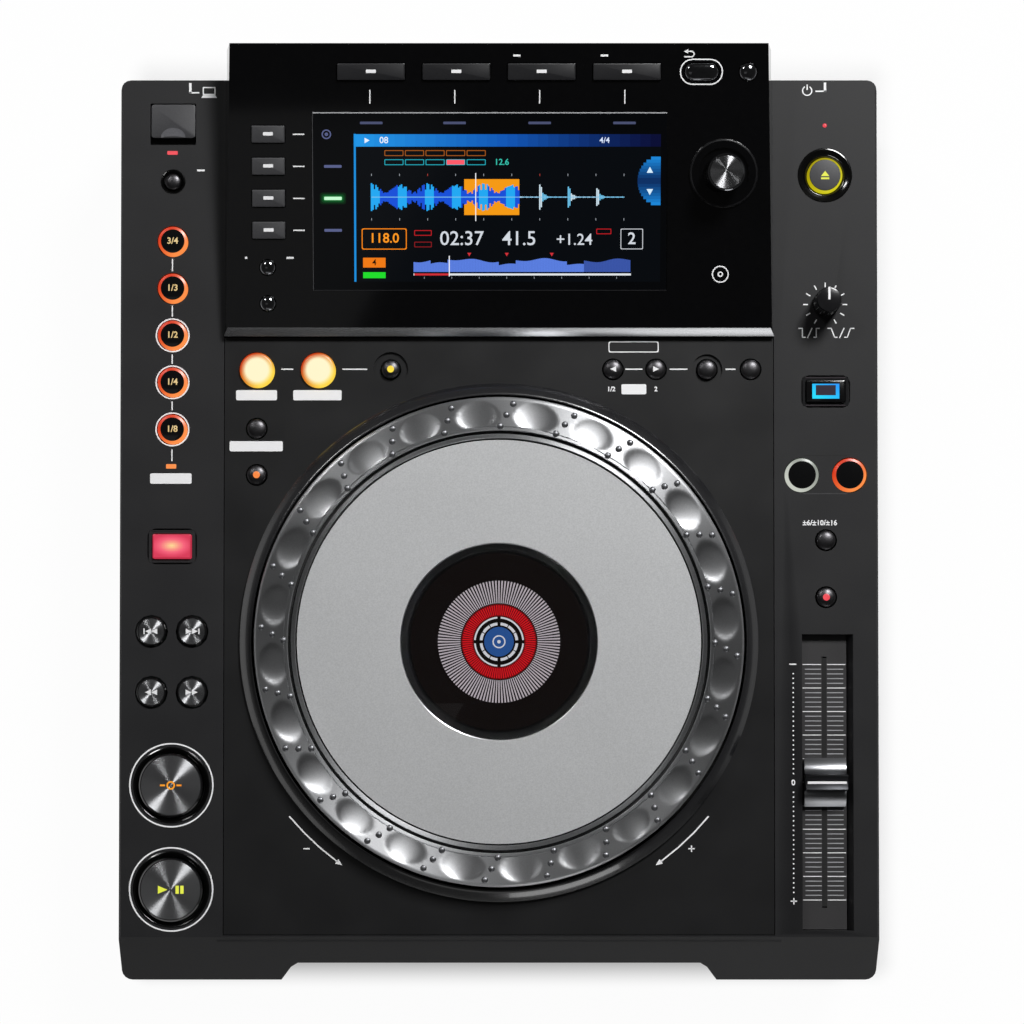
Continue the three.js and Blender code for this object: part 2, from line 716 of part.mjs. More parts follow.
/** Top case: deck, side walls, front lip and rear wall as one moulding. */
function topCase() {
  const skin = acrossX([
    [deckRearY, caseBottomZ],
    [deckRearY, deckHeight],
    [deckFrontY, deckHeight],
    [frontY, lipTopZ],
    [frontY, lipBottomZ],
    [frontFaceY, lipBottomZ],
    [frontFaceY, caseBottomZ],
  ], -caseWidth / 2, caseWidth / 2);
  const middleY = (frontY + deckRearY) / 2;
  const rounded = risen(casePlan(), 0, deckHeight + overrun, at(0, middleY, 0));
  const half = caseWidth / 2;
  const bevelled = alongY([
    [-half, 0], [half, 0], [half, deckHeight - caseEdgeBevel], [half - caseEdgeBevel, deckHeight],
    [-half + caseEdgeBevel, deckHeight], [-half, deckHeight - caseEdgeBevel],
  ], frontY - overrun, deckRearY + overrun);
  const hollow = acrossX([
    [deckRearY - wall, caseBottomZ - overrun],
    [deckRearY - wall, deckHeight - wall],
    [deckFrontY + wall, deckHeight - wall],
    [frontFaceY + wall, deckHeight - 2 * wall],
    [frontFaceY + wall, caseBottomZ - overrun],
  ], -half + wall, half - wall);
  const ledge = panelLedge();
  const housingOpening = block(
    [-panelWidth / 2 + deckOpeningMargin, housingFrontY + deckOpeningFront, deckHeight - wall - overrun],
    [panelWidth / 2 - deckOpeningMargin, deckRearY - deckOpeningFront, deckHeight + overrun]);
  const rearOpening = block(
    [-rearOpeningWidth / 2, deckRearY - wall - overrun, rearOpeningZ - rearOpeningHeight / 2],
    [rearOpeningWidth / 2, deckRearY + overrun, rearOpeningZ + rearOpeningHeight / 2]);
  const bosses = [
    ...leftBossShares.map((share) => deckAt(-half + bossInset, share)),
    ...rightBossShares.map((share) => deckAt(half - bossInset, share)),
  ].map((place) => turned([
    [0, -wall / 2], [bossRadius, -wall / 2], [bossRadius, fit - boardDepth], [0, fit - boardDepth],
  ], bossSides, place));
  const standoffInset = chassisInset + chassisSheet + standoffGap + standoffRadius;
  const standoffs = chassisCorners(standoffInset).map(([x, y]) => turned([
    [0, deckHeight - wall / 2], [standoffRadius, deckHeight - wall / 2],
    [standoffRadius, footHeight + chassisSheet + fit], [0, footHeight + chassisSheet + fit],
  ], bossSides, at(x, y, 0)));
  const shell = cut(skin.intersect(rounded).intersect(bevelled), hollow);
  const filled = joined(shell, ledge.frame, usbBlock(), ...bosses, ...standoffs,
    sliderWell(wellSkirtWall, wellDepth + wellSkirt));
  const speedHole = roundHole(
    { radius: speedShaftRadius, sides: postSides }, deckAt(columnX, speedPlaceShare));
  return cut(filled, ledge.window, ledge.seat, notch(), discSlot(), usbPocket(), housingOpening, rearOpening,
    sliderWell(0, wellDepth + wellSkirt + overrun), topOfWell(), speedHole, ...holesFor(deckControls));
}

/** Corners of the chassis, drawn in from the case's outline. */
function chassisCorners(inset) {
  const [x, front, rear] = [caseWidth / 2 - inset, frontFaceY + inset, deckRearY - inset];
  return [[-x, front], [x, front], [-x, rear], [x, rear]];
}

/** Centre panel: plate with a raised cone round the jog wheel. */
function centrePanel() {
  const plate = block(
    [-panelWidth / 2, panelFrontY, deckHeight - wall], [panelWidth / 2, panelRearY, deckHeight]);
  const inner = jogRimTopRadius - jogRimWall;
  const cone = turned([
    [inner, jogRimRise],
    [jogRimTopRadius, jogRimRise],
    [jogRimRadius, 0],
    [jogRimRadius, -wall],
    [inner, -wall],
  ], ringSides, at(0, jogY, deckHeight));
  const hole = turned([
    [0, overrun], [(inner + jogRimRadius) / 2, overrun], [(inner + jogRimRadius) / 2, -wall - overrun],
    [0, -wall - overrun],
  ], rimSides, at(0, jogY, deckHeight));
  return cut(joined(cut(plate, hole), cone), ...holesFor(panelControls));
}

/** Cross-section of the housing from the side, thinned by an inset. */
function housingSide(inset, bottom) {
  const drop = inset / Math.cos(faceTilt);
  const skinZ = (y) => faceFrontZ + (y - faceFrontY) * Math.tan(faceTilt) - drop;
  const undercut = inset > 0 ? faceRearZ : deckHeight + housingUndercutRise;
  const tailY = deckRearY - housingTailGap;
  const points = [
    [housingFrontY + inset, bottom],
    [faceFrontY + inset, skinZ(faceFrontY + inset)],
    [housingRearY - inset, skinZ(housingRearY - inset)],
  ];
  if (inset > 0) {
    points.push([housingRearY - inset, deckHeight + housingUndercutRise + inset]);
    points.push([tailY - inset, deckHeight + housingUndercutRise + inset]);
  } else {
    points.push([housingRearY, undercut], [tailY, undercut]);
  }
  points.push([tailY - inset, bottom]);
  return points;
}

/** Screen housing: drafted wedge shell, open underneath, with the selector's collar. */
function screenHousing() {
  const base = deckHeight + fit;
  const half = panelWidth / 2;
  const narrow = housingSideDraft * (housingRearRise + overrun);
  const draft = (inset, low) => alongY([
    [-half + inset, low], [half - inset, low],
    [half - inset - narrow, faceRearZ + overrun], [-half + inset + narrow, faceRearZ + overrun],
  ], housingFrontY - overrun, housingRearY + overrun);
  const body = acrossX(housingSide(0, base), -half, half).intersect(draft(0, deckHeight));
  const hollow = acrossX(housingSide(wall, base - overrun), -half + wall, half - wall)
    .intersect(draft(wall, deckHeight - overrun));
  const collar = turned([
    [collarInnerRadius, collarRise], [collarOuterRadius, collarRise],
    [collarOuterRadius, -wall / 2], [collarInnerRadius, -wall / 2],
  ], transportButton.sides, selectorPlace());
  const shaftHole = roundHole({ radius: selectorShaftRadius, sides: postSides }, selectorPlace());
  return cut(joined(cut(body, hollow), collar), screenSeat(), shaftHole, ...holesFor(faceControls));
}

const selectorPlace = () => onFace(faceColumn(selectorColumnShare), selectorRowShare);
const screenPlace = () => onFace(screenX, screenPlaceShare);

/** Recess for the screen glass and the opening behind it. */
function screenSeat() {
  const [x, y] = [screenWidth / 2 + fit, screenLength / 2 + fit];
  const ledge = screenLedge;
  const depth = screenGlassThickness + fit;
  return joined(
    block([-x, -y, -depth], [x, y, overrun], screenPlace()),
    block([-x + ledge, -y + ledge, -wall - overrun], [x - ledge, y - ledge, overrun], screenPlace()));
}

/** Screen glass with the display module behind it. */
function screenModule() {
  const [x, y] = [screenWidth / 2, screenLength / 2];
  const inner = screenLedge + fit;
  return joined(
    block([-x, -y, -screenGlassThickness], [x, y, 0]),
    block([-x + inner, -y + inner, -screenGlassThickness - screenModuleThickness],
      [x - inner, y - inner, -screenGlassThickness]));
}

/** Jog ring: inverted channel with thumb dimples and rows of small bumps between them. */
function jogRing() {
  const outer = ringOuterRadius;
  const body = turned([
    [ringInnerRadius, ringRise - ringEdgeRound],
    [ringInnerRadius + ringEdgeRound, ringRise],
    [outer - ringEdgeRound, ringRise],
    [outer, ringRise - ringEdgeRound],
    [outer, -ringSkirtDrop],
    [outer - ringWall, -ringSkirtDrop],
    [outer - ringWall, ringRise - ringTopThickness],
    [ringInnerRadius, ringRise - ringTopThickness],
  ], ringSides);
  const pitch = fullTurn / dimpleCount;
  const start = dimpleStartTurnShare * fullTurn;
  const dimples = [];
  const bumps = [];
  for (let i = 0; i < dimpleCount; i += 1) {
    dimples.push(dimple(start + i * pitch));
    for (const row of bumpRows) {
      const turns = i + 1 / 2 - row * bumpRowLeadShare;
      bumps.push(bump(dimpleCircleRadius + row * bumpRowStep, start + turns * pitch));
    }
  }
  return joined(cut(body, ...dimples), ...bumps);
}

/** Shallow oval thumb dimple, longer round the wheel than across the ring. */
function dimple(angle) {
  const geometry = new THREE.SphereGeometry(1, dimpleSides, dimpleBands);
  geometry.rotateX(quarterTurn);
  const halfLength = dimpleLengthShare * Math.PI * dimpleCircleRadius / dimpleCount;
  geometry.scale(dimpleHalfWidth, halfLength, dimpleDepth);
  geometry.translate(dimpleCircleRadius, 0, ringRise);
  geometry.rotateZ(angle + quarterTurn);
  return solidOf(geometry);
}

/** Small pointed grip bump. */
function bump(radius, angle) {
  const geometry = new THREE.ConeGeometry(bumpRadius, 2 * bumpHeight, bumpSides);
  geometry.rotateX(quarterTurn);
  geometry.translate(radius, 0, ringRise);
  geometry.rotateZ(angle + quarterTurn);
  return solidOf(geometry);
}

/** Jog plate: flat disc with a raised trim ring, a carrier lip under the ring and a bearing sleeve. */
function jogPlate() {
  const ringSeat = ringRise - ringTopThickness - fit;
  const carrier = ringSeat - carrierThickness;
  const bore = windowRadius + fit;
  return turned([
    [bore, plateRise],
    [plateEdgeRadius - trimRingWidth, plateRise],
    [plateEdgeRadius - trimRingWidth, plateRise + trimRingRise],
    [plateEdgeRadius, plateRise + trimRingRise],
    [plateEdgeRadius, ringSeat],
    [ringOuterRadius - ringWall - fit, ringSeat],
    [ringOuterRadius - ringWall - fit, carrier],
    [sleeveOuterRadius, carrier],
    [sleeveOuterRadius, -sleeveDrop],
    [sleeveOuterRadius - sleeveWall, -sleeveDrop],
    [sleeveOuterRadius - sleeveWall, carrier],
    [bore - windowLedge, carrier],
    [bore - windowLedge, plateRise - windowThickness - fit],
    [bore, plateRise - windowThickness - fit],
  ], plateSides);
}

/** Clear window in the middle of the jog plate. */
function jogWindow() {
  return turned([
    [0, plateRise], [windowRadius, plateRise], [windowRadius, plateRise - windowThickness],
    [0, plateRise - windowThickness],
  ], plateSides);
}

/** Jog hub: tub under the centre panel with the bearing post and the fixed centre display. */
function jogHub() {
  const post = sleeveOuterRadius - sleeveWall - fit - selectorRunningGap / 2;
  return turned([
    [0, hubRise + centreDisplayRise],
    [centreDisplayRadius, hubRise + centreDisplayRise],
    [centreDisplayRadius, hubRise],
    [post, hubRise],
    [post, tubFloor - tubDepth],
    [tubRadius - tubWall, tubFloor - tubDepth],
    [tubRadius - tubWall, underWall],
    [tubRadius, underWall],
    [tubRadius, -tubDepth],
    [0, -tubDepth],
  ], hubSides);
}

/** Selector shaft, which slides when the knob is pressed. */
function selectorShaft() {
  const top = selectorKnobStandoff + selectorKnobHeight - selectorKnobRoof - fit;
  return turned([
    [0, top], [selectorShaftRadius, top], [selectorShaftRadius, underWall],
    [selectorShaftRadius + flangeWidth, underWall], [selectorShaftRadius, -selectorShaftReach],
    [0, -selectorShaftReach],
  ], postSides);
}

/** Selector knob: tapered skirt, blind bore for the shaft. */
function selectorKnob() {
  const top = selectorKnobStandoff + selectorKnobHeight;
  const bore = selectorShaftRadius + selectorRunningGap;
  return turned([
    [0, top],
    [selectorKnobTopRadius - edgeRound, top],
    [selectorKnobTopRadius, top - edgeRound],
    [selectorKnobRadius, selectorKnobStandoff],
    [bore, selectorKnobStandoff],
    [bore, top - selectorKnobRoof],
    [0, top - selectorKnobRoof],
  ], transportButton.sides);
}

/** Speed knob with its shaft, which reaches down to the board. */
function speedKnob() {
  const top = speedKnobStandoff + speedKnobHeight;
  return turned([
    [0, top],
    [speedKnobTopRadius - edgeRound, top],
    [speedKnobTopRadius, top - edgeRound],
    [speedKnobRadius, speedKnobStandoff],
    [speedShaftRadius - speedRunningGap / 2, speedKnobStandoff],
    [speedShaftRadius - speedRunningGap / 2, fit - boardDepth],
    [0, fit - boardDepth],
  ], beatButton.sides);
}

const faderPlace = () => deckAt(columnX - faderOffset, faderPlaceShare).multiply(at(0, 0, -wellDepth));

/** Fader: slotted scale plate in the well over the body that guides the lever. */
function tempoFader() {
  const [x, y] = [wellFloorWidth / 2 - fit, wellLength / 2 - fit];
  const plate = block([-x, -y, -faderPlateThickness], [x, y, 0]);
  const body = block(
    [-faderBodyWidth / 2, -faderBodyLength / 2, -faderBodyDepth],
    [faderBodyWidth / 2, faderBodyLength / 2, -faderPlateThickness]);
  const slotEnd = faderTravel + leverLength / 2 + faderSlotEndGap;
  const slot = block(
    [-faderSlotWidth / 2, -slotEnd, faderPlateThickness - faderBodyDepth],
    [faderSlotWidth / 2, slotEnd, overrun]);
  return cut(joined(plate, body), slot);
}

/** Slider cap: hollowed flanks up to a raised finger ridge, on a lever that runs in the slot. */
function sliderCap() {
  const half = sliderLength / 2;
  const flank = new THREE.Shape();
  flank.moveTo(-half, sliderGap);
  flank.lineTo(half, sliderGap);
  flank.lineTo(half, sliderEndHeight);
  flank.quadraticCurveTo(sliderRidgeHalf + sliderRidgeDraft, sliderEndHeight,
    sliderRidgeHalf + sliderRidgeDraft, sliderShoulderHeight);
  flank.lineTo(sliderRidgeHalf, sliderRidgeHeight);
  flank.lineTo(-sliderRidgeHalf, sliderRidgeHeight);
  flank.lineTo(-sliderRidgeHalf - sliderRidgeDraft, sliderShoulderHeight);
  flank.quadraticCurveTo(-sliderRidgeHalf - sliderRidgeDraft, sliderEndHeight, -half, sliderEndHeight);
  const turn = new THREE.Matrix4().makeBasis(
    new THREE.Vector3(0, 1, 0), new THREE.Vector3(0, 0, 1), new THREE.Vector3(1, 0, 0));
  const cap = risen(flank, -sliderWidth / 2, sliderWidth / 2, turn);
  const lever = block([-leverWidth / 2, -leverLength / 2, -leverReach],
    [leverWidth / 2, leverLength / 2, sliderEndHeight]);
  return joined(cap, lever);
}

const hingeY = () => deckFrontY + pocketPlaceShare * deckLength + pocketLength / 2 - doorBarrelRadius - fit;
const hingeZ = deckHeight - doorSink - doorBarrelRadius;

/** USB door, flush with the deck, with a hinge barrel at its rear and a finger scoop at its front. */
function usbDoor() {
  const half = pocketWidth / 2 - fit;
  const top = doorBarrelRadius;
  const leaf = risen(roundedRectangle(2 * half, doorLength, edgeRound), top - doorThickness, top,
    at(0, -doorLength / 2, 0));
  const barrel = turned([[0, half], [doorBarrelRadius, half], [doorBarrelRadius, -half], [0, -half]],
    postSides, new THREE.Matrix4().makeRotationY(quarterTurn));
  const scoop = turned([
    [0, top + overrun],
    [doorScoopRadius, top + overrun],
    [doorScoopRadius, top - doorScoopDepth],
    [0, top - doorScoopDepth],
  ], transportButton.sides, at(0, -doorLength - doorScoopRadius / 3, 0));
  return cut(joined(leaf, barrel), scoop);
}

/** Bottom chassis: sheet tray with vents, posts for the drive, and the four feet. */
function bottomChassis() {
  const x = caseWidth / 2 - chassisInset;
  const [front, rear] = [frontFaceY + chassisInset, deckRearY - chassisInset];
  const middleY = (front + rear) / 2;
  const outer = roundedRectangle(2 * x, rear - front, caseCornerRadius);
  const inner = roundedRectangle(2 * (x - chassisSheet), rear - front - 2 * chassisSheet, caseCornerRadius);
  const floorZ = footHeight + chassisSheet;
  const tray = cut(risen(outer, footHeight, chassisTopZ, at(0, middleY, 0)),
    risen(inner, floorZ, chassisTopZ + overrun, at(0, middleY, 0)));
  const feet = [-1, 1].flatMap((sx) => [front + footInsetY, rear - footInsetY].map((y) => turned([
    [0, footHeight + chassisSheet / 2], [footRadius, footHeight + chassisSheet / 2],
    [footRadius, footTaper], [footRadius - footTaper, 0], [0, 0],
  ], beatButton.sides, at(sx * (x - footInsetX), y, 0))));
  const driveFloor = slotCentreZ - driveHeight / 2;
  const posts = drivePosts().map(([px, py]) => turned([
    [0, driveFloor - fit], [drivePostRadius, driveFloor - fit],
    [drivePostRadius, footHeight + chassisSheet / 2], [0, footHeight + chassisSheet / 2],
  ], bossSides, at(px, py, 0)));
  const vents = Array.from({ length: ventCount }, (_, i) => block(
    [-ventLength / 2, 0, footHeight - overrun], [ventLength / 2, ventWidth, floorZ + overrun],
    at(0, rear - footInsetY - i * ventPitch, 0)));
  return cut(joined(tray, ...feet, ...posts), ...vents);
}

/** Places of the posts that the drive stands on. */
function drivePosts() {
  const x = driveWidth / 2 - drivePostInset;
  const front = driveFrontY() + drivePostInset;
  return [-x, x].flatMap((px) => [front, front + driveLength - 2 * drivePostInset].map((py) => [px, py]));
}

const driveFrontY = () => frontFaceY + wall + driveFaceGap;

/** Slot-in drive: housing with an open disc bay, a stepped top over the motor and four ears. */
function discDrive() {
  const [half, low, front] = [driveWidth / 2, slotCentreZ - driveHeight / 2, driveFrontY()];
  const body = block([-half, front, low], [half, front + driveLength, low + driveHeight - driveStepHeight]);
  const step = block(
    [-half * driveStepShare, front + driveLength / 4, low],
    [half * driveStepShare, front + driveLength, low + driveHeight]);
  const ears = drivePosts().map(([x, y]) => block(
    [-driveEarWidth, -driveEarWidth / 2, 0], [driveEarWidth, driveEarWidth / 2, driveEarThickness],
    at(x, y, low)));
  const bay = block(
    [-bayWidth / 2, front - overrun, slotCentreZ - slotHeight / 2],
    [bayWidth / 2, front + bayLength, slotCentreZ + slotHeight / 2]);
  return cut(joined(body, step, ...ears), bay);
}

/** Control board under the deck, cleared round the jog tub and the fader. */
function controlBoard() {
  const half = caseWidth / 2 - wall - boardInset;
  const [top, bottom] = [deckHeight - boardDepth, deckHeight - boardDepth - boardThickness];
  const front = deckFrontY + wall + boardFrontInset;
  const sheet = block([-half, front, bottom], [half, boardRearY, top]);
  const tub = turned([
    [0, top + overrun], [tubRadius + boardTubGap, top + overrun],
    [tubRadius + boardTubGap, bottom - overrun], [0, bottom - overrun],
  ], hubSides, at(0, jogY, 0));
  const faderRearY = deckFrontY + faderPlaceShare * deckLength + wellLength / 2 + boardFaderGap;
  const faderSide = block([-panelWidth / 4, front - overrun, bottom - overrun],
    [half + overrun, faderRearY, top + overrun]);
  const clear = chassisInset + chassisSheet + standoffGap + 2 * standoffRadius;
  const corner = block([-half - overrun, front - overrun, bottom - overrun],
    [-half + clear, front + clear, top + overrun]);
  return cut(sheet, tub, faderSide, corner);
}

/** Rear connector plate with its sockets. */
function rearPanel() {
  const outerY = deckRearY - wall - fit;
  const innerY = outerY - rearPlateThickness;
  const [x, z] = [rearOpeningWidth / 2 + rearPlateOverlap, rearOpeningHeight / 2 + rearPlateOverlap];
  const plate = block([-x, innerY, rearOpeningZ - z], [x, outerY, rearOpeningZ + z]);
  const facing = (px) => at(px, outerY, connectorZ).multiply(new THREE.Matrix4().makeRotationX(-quarterTurn));
  const phonos = [digitalJackX, audioRightX, audioLeftX].map((px) => turned([
    [0, phonoLength], [phonoRadius, phonoLength], [phonoRadius, phonoCollarLength],
    [phonoCollarRadius, phonoCollarLength], [phonoCollarRadius, -rearPlateThickness - overrun],
    [0, -rearPlateThickness - overrun],
  ], postSides, facing(px)));
  const phonoBores = [digitalJackX, audioRightX, audioLeftX].map((px) => turned([
    [0, phonoLength + overrun], [phonoBore, phonoLength + overrun], [phonoBore, phonoLength - phonoDepth],
    [0, phonoLength - phonoDepth],
  ], bossSides, facing(px)));
  const control = turned([
    [0, controlCollarLength], [controlCollarRadius, controlCollarLength],
    [controlCollarRadius, -controlDepth - overrun], [0, -controlDepth - overrun],
  ], postSides, facing(controlJackX));
  const controlHole = turned([
    [0, controlCollarLength + overrun], [controlBore, controlCollarLength + overrun],
    [controlBore, -controlDepth], [0, -controlDepth],
  ], bossSides, facing(controlJackX));
  const shells = [
    portBlock(networkPortX, networkPortWidth, networkPortHeight, networkPortDepth, portShell, outerY),
    portBlock(computerPortX, computerPortSize, computerPortSize, computerPortDepth, portShell, outerY),
  ];
  const openY = outerY + overrun;
  const through = rearPlateThickness + 2 * overrun;
  const mainsGrow = 2 * (mainsBodyWall + fit);
  const mouths = [
    portBlock(networkPortX, networkPortWidth, networkPortHeight, networkPortDepth + overrun, 0, openY),
    portBlock(computerPortX, computerPortSize, computerPortSize, computerPortDepth + overrun, 0, openY),
    portBlock(mainsX, mainsMouthWidth + mainsGrow, mainsMouthHeight + mainsGrow, through, 0, openY),
    portBlock(powerX, powerWidth + 2 * fit, powerHeight + 2 * fit, through, 0, openY),
  ];
  return cut(joined(plate, ...phonos, control, ...shells), ...phonoBores, controlHole, ...mouths);
}

/** Box of a square socket that opens to the rear, with an optional shell round it. */
function portBlock(x, width, height, depth, shell, rearY) {
  const [halfW, halfH] = [width / 2 + shell, height / 2 + shell];
  return block(
    [x - halfW, rearY - depth - shell, connectorZ - halfH], [x + halfW, rearY, connectorZ + halfH]);
}

/** Mains inlet: flange, body with a mouth whose two upper corners are cut off, and three blades. */
function mainsInlet() {
  const [w, h, c] = [mainsMouthWidth / 2, mainsMouthHeight / 2, mainsCornerCut];
  const mouthShape = (grow) => [
    [-w - grow, -h - grow], [w + grow, -h - grow], [w + grow, h + grow - c], [w + grow - c, h + grow],
    [-w - grow + c, h + grow], [-w - grow, h + grow - c],
  ];
  const bodyRear = -rearPlateThickness - fit;
  const flange = alongY([
    [-mainsWidth / 2, -mainsHeight / 2], [mainsWidth / 2, -mainsHeight / 2],
    [mainsWidth / 2, mainsHeight / 2], [-mainsWidth / 2, mainsHeight / 2],
  ], fit, mainsFlange);
  const body = alongY(mouthShape(mainsBodyWall), -mainsMouthDepth - mainsBodyWall, mainsFlange);
  const mouth = alongY(mouthShape(0), -mainsMouthDepth, mainsFlange + overrun);
  const bladeAt = (x, z) => block(
    [x - mainsBladeWidth / 2, -mainsMouthDepth + bodyRear, z - mainsBladeHeight / 2],
    [x + mainsBladeWidth / 2, -mainsMouthDepth + mainsBladeLength, z + mainsBladeHeight / 2]);
  const blades = [
    bladeAt(-mainsBladePitch, -mainsEarthRaise / 2),
    bladeAt(mainsBladePitch, -mainsEarthRaise / 2),
    bladeAt(0, mainsEarthRaise / 2),
  ];
  return joined(cut(joined(flange, body), mouth), ...blades);
}

/** Power button: square cap through the rear plate with a flange behind it. */
function powerButton() {
  const cap = block([-powerWidth / 2, -rearPlateThickness - fit, -powerHeight / 2],
    [powerWidth / 2, powerTravel + powerProud, powerHeight / 2]);
  const flange = block(
    [-powerWidth / 2 - powerFlange, -rearPlateThickness - fit - powerFlange, -powerHeight / 2 - powerFlange],
    [powerWidth / 2 + powerFlange, -rearPlateThickness - fit, powerHeight / 2 + powerFlange]);
  const stem = block(
    [-powerWidth * stemShare / 2, -powerReach, -powerHeight * stemShare / 2],
    [powerWidth * stemShare / 2, -rearPlateThickness - fit - powerFlange, powerHeight * stemShare / 2]);
  return joined(cap, flange, stem);
}

const jogPlace = at(0, jogY, deckHeight);
const rearPlateY = deckRearY - wall - fit;

const group = new THREE.Group();
group.add(
  piece('bottom_chassis', bottomChassis(), finish('#1d1e20', 0.6, 0.3)),
  piece('top_case', topCase(), finish('#2a2b2d', 0.65)),
  piece('centre_panel', centrePanel(), finish('#1d1d1f', 0.3)),
  piece('screen_housing', screenHousing(), finish('#141416', 0.12)),
  piece('screen_module', screenModule(), finish('#101725', 0.05), screenPlace().multiply(at(0, 0, -fit / 2))),
  piece('jog_hub', jogHub(), finish('#101012', 0.4), jogPlace),
  piece('jog_ring', jogRing(), finish('#55565a', 0.35, 0.4), jogPlace),
  piece('jog_plate', jogPlate(), finish('#b9babc', 0.45, 0.6), jogPlace),
  piece('jog_window', jogWindow(), finish('#18181b', 0.05), jogPlace),
  piece('disc_drive', discDrive(), finish('#a9abae', 0.4, 0.8)),
  piece('control_board', controlBoard(), finish('#1f5a36', 0.6)),
  piece('tempo_fader', tempoFader(), finish('#343437', 0.5), faderPlace()),
  piece('slider_cap', sliderCap(), finish('#77787b', 0.3, 0.6), faderPlace()),
  piece('selector_shaft', selectorShaft(), finish('#9a9b9e', 0.3, 0.9), selectorPlace()),
  piece('selector_knob', selectorKnob(), finish('#2b2c2f', 0.3, 0.6), selectorPlace()),
  piece('speed_knob', speedKnob(), finish('#232427', 0.4), deckAt(columnX, speedPlaceShare)),
  piece('usb_door', usbDoor(), finish('#4a4b4e', 0.45), at(-columnX, hingeY(), hingeZ)),
  piece('rear_panel', rearPanel(), finish('#1b1c1e', 0.5, 0.4)),
  piece('mains_inlet', mainsInlet(), finish('#131315', 0.5), at(mainsX, rearPlateY, connectorZ)),
  piece('power_button', powerButton(), finish('#2d2e31', 0.5), at(powerX, rearPlateY, connectorZ)),
  ...buttonsFor(deckControls, boardDepth),
  ...buttonsFor(panelControls, boardDepth),
  ...buttonsFor(faceControls, faceReach),
);

export default group;
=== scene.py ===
import functools
import logging
import math
from dataclasses import dataclass
from enum import Enum
from typing import Callable, ClassVar, Iterable, Sequence

import bmesh
import bpy
from bpy.types import Material, Mesh, Node, NodeSocket, NodeTree, Object
from mathutils import Matrix, Vector


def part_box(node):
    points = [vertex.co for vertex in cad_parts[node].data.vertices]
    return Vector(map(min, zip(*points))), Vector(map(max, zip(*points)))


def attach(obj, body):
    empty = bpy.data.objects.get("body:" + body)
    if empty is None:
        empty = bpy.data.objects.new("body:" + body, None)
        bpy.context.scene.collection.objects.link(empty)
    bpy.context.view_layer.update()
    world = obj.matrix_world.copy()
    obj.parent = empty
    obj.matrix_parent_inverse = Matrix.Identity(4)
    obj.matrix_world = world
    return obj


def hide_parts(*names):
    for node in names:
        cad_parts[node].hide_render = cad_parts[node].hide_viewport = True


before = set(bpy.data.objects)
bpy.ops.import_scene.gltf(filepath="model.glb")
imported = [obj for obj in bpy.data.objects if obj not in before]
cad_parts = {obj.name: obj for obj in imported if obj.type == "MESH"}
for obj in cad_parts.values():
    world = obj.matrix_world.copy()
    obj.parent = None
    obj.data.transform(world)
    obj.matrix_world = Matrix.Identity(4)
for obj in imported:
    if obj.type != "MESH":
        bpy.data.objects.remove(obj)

log = logging.getLogger("disc_player")
MM = 0.001
TURN = 2 * math.pi
Point = tuple[float, ...]
Tint = str | Callable[[Vector], str]
Outline = Callable[[float], Sequence[Point]]
Source = Node | NodeSocket


@dataclass(frozen=True)
class Layout:
    """Heights and places of the player in millimetres, from the middle of its outline on the feet's plane."""

    deck: float = 74.0
    column: float = 131.45
    strip_edge: float = 110.9
    jog_y: float = -50.575
    face_front_y: float = 75.325
    face_front_z: float = 79.5
    face_tilt: float = math.asin(0.137448)
    face_length: float = 112.77
    cue_y: float = -107.97
    play_y: float = -149.69
    source_row: float = 38.93
    source_pitch: float = 12.66

    def on_deck(self, x: float = 0.0, y: float = 0.0, z: float = 0.0) -> Matrix:
        """Place on the deck, z over its surface."""
        return Matrix.Translation((x, y, self.deck + z))

    def on_face(self, x: float = 0.0, s: float = 0.0, z: float = 0.0) -> Matrix:
        """Place on the sloping display face, s along it from its front edge, z off its surface."""
        foot = Matrix.Translation((x, self.face_front_y, self.face_front_z))
        return foot @ Matrix.Rotation(self.face_tilt, 4, "X") @ Matrix.Translation((0, s, z))

    def jog(self, z: float = 0.0) -> Matrix:
        """Place on the jog wheel's axis, z over the deck."""
        return self.on_deck(0, self.jog_y, z)


PLAN = Layout()


def shifted(place: Matrix, x: float = 0.0, y: float = 0.0, z: float = 0.0) -> Matrix:
    """A place moved in its own frame."""
    return place @ Matrix.Translation((x, y, z))


def node_box(node: str) -> tuple[Vector, Vector]:
    """Lowest and highest corner of a CAD node in millimetres."""
    low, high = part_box(node)
    return Vector(low) / MM, Vector(high) / MM


# Colours and finishes.


@functools.lru_cache(maxsize=None)
def linear(colour: str) -> tuple[float, float, float, float]:
    """Turns an sRGB hex colour to linear light.

    Args:
        colour: sRGB colour such as "#2a2b2d".

    Returns:
        Red, green, blue and alpha in linear light.
    """
    parts = [int(colour[i:i + 2], 16) / 255 for i in (1, 3, 5)]
    light = [c / 12.92 if c <= 0.04045 else ((c + 0.055) / 1.055) ** 2.4 for c in parts]
    return (*light, 1.0)


def blend(first: str, second: str, share: float) -> str:
    """Mixes two sRGB hex colours.

    Args:
        first: Colour at share 0.
        second: Colour at share 1.
        share: From 0 to 1, limited to that.

    Returns:
        The mixed colour.
    """
    share = min(max(share, 0.0), 1.0)
    parts = [round(int(first[i:i + 2], 16) * (1 - share) + int(second[i:i + 2], 16) * share) for i in (1, 3, 5)]
    return "#" + "".join(f"{part:02x}" for part in parts)


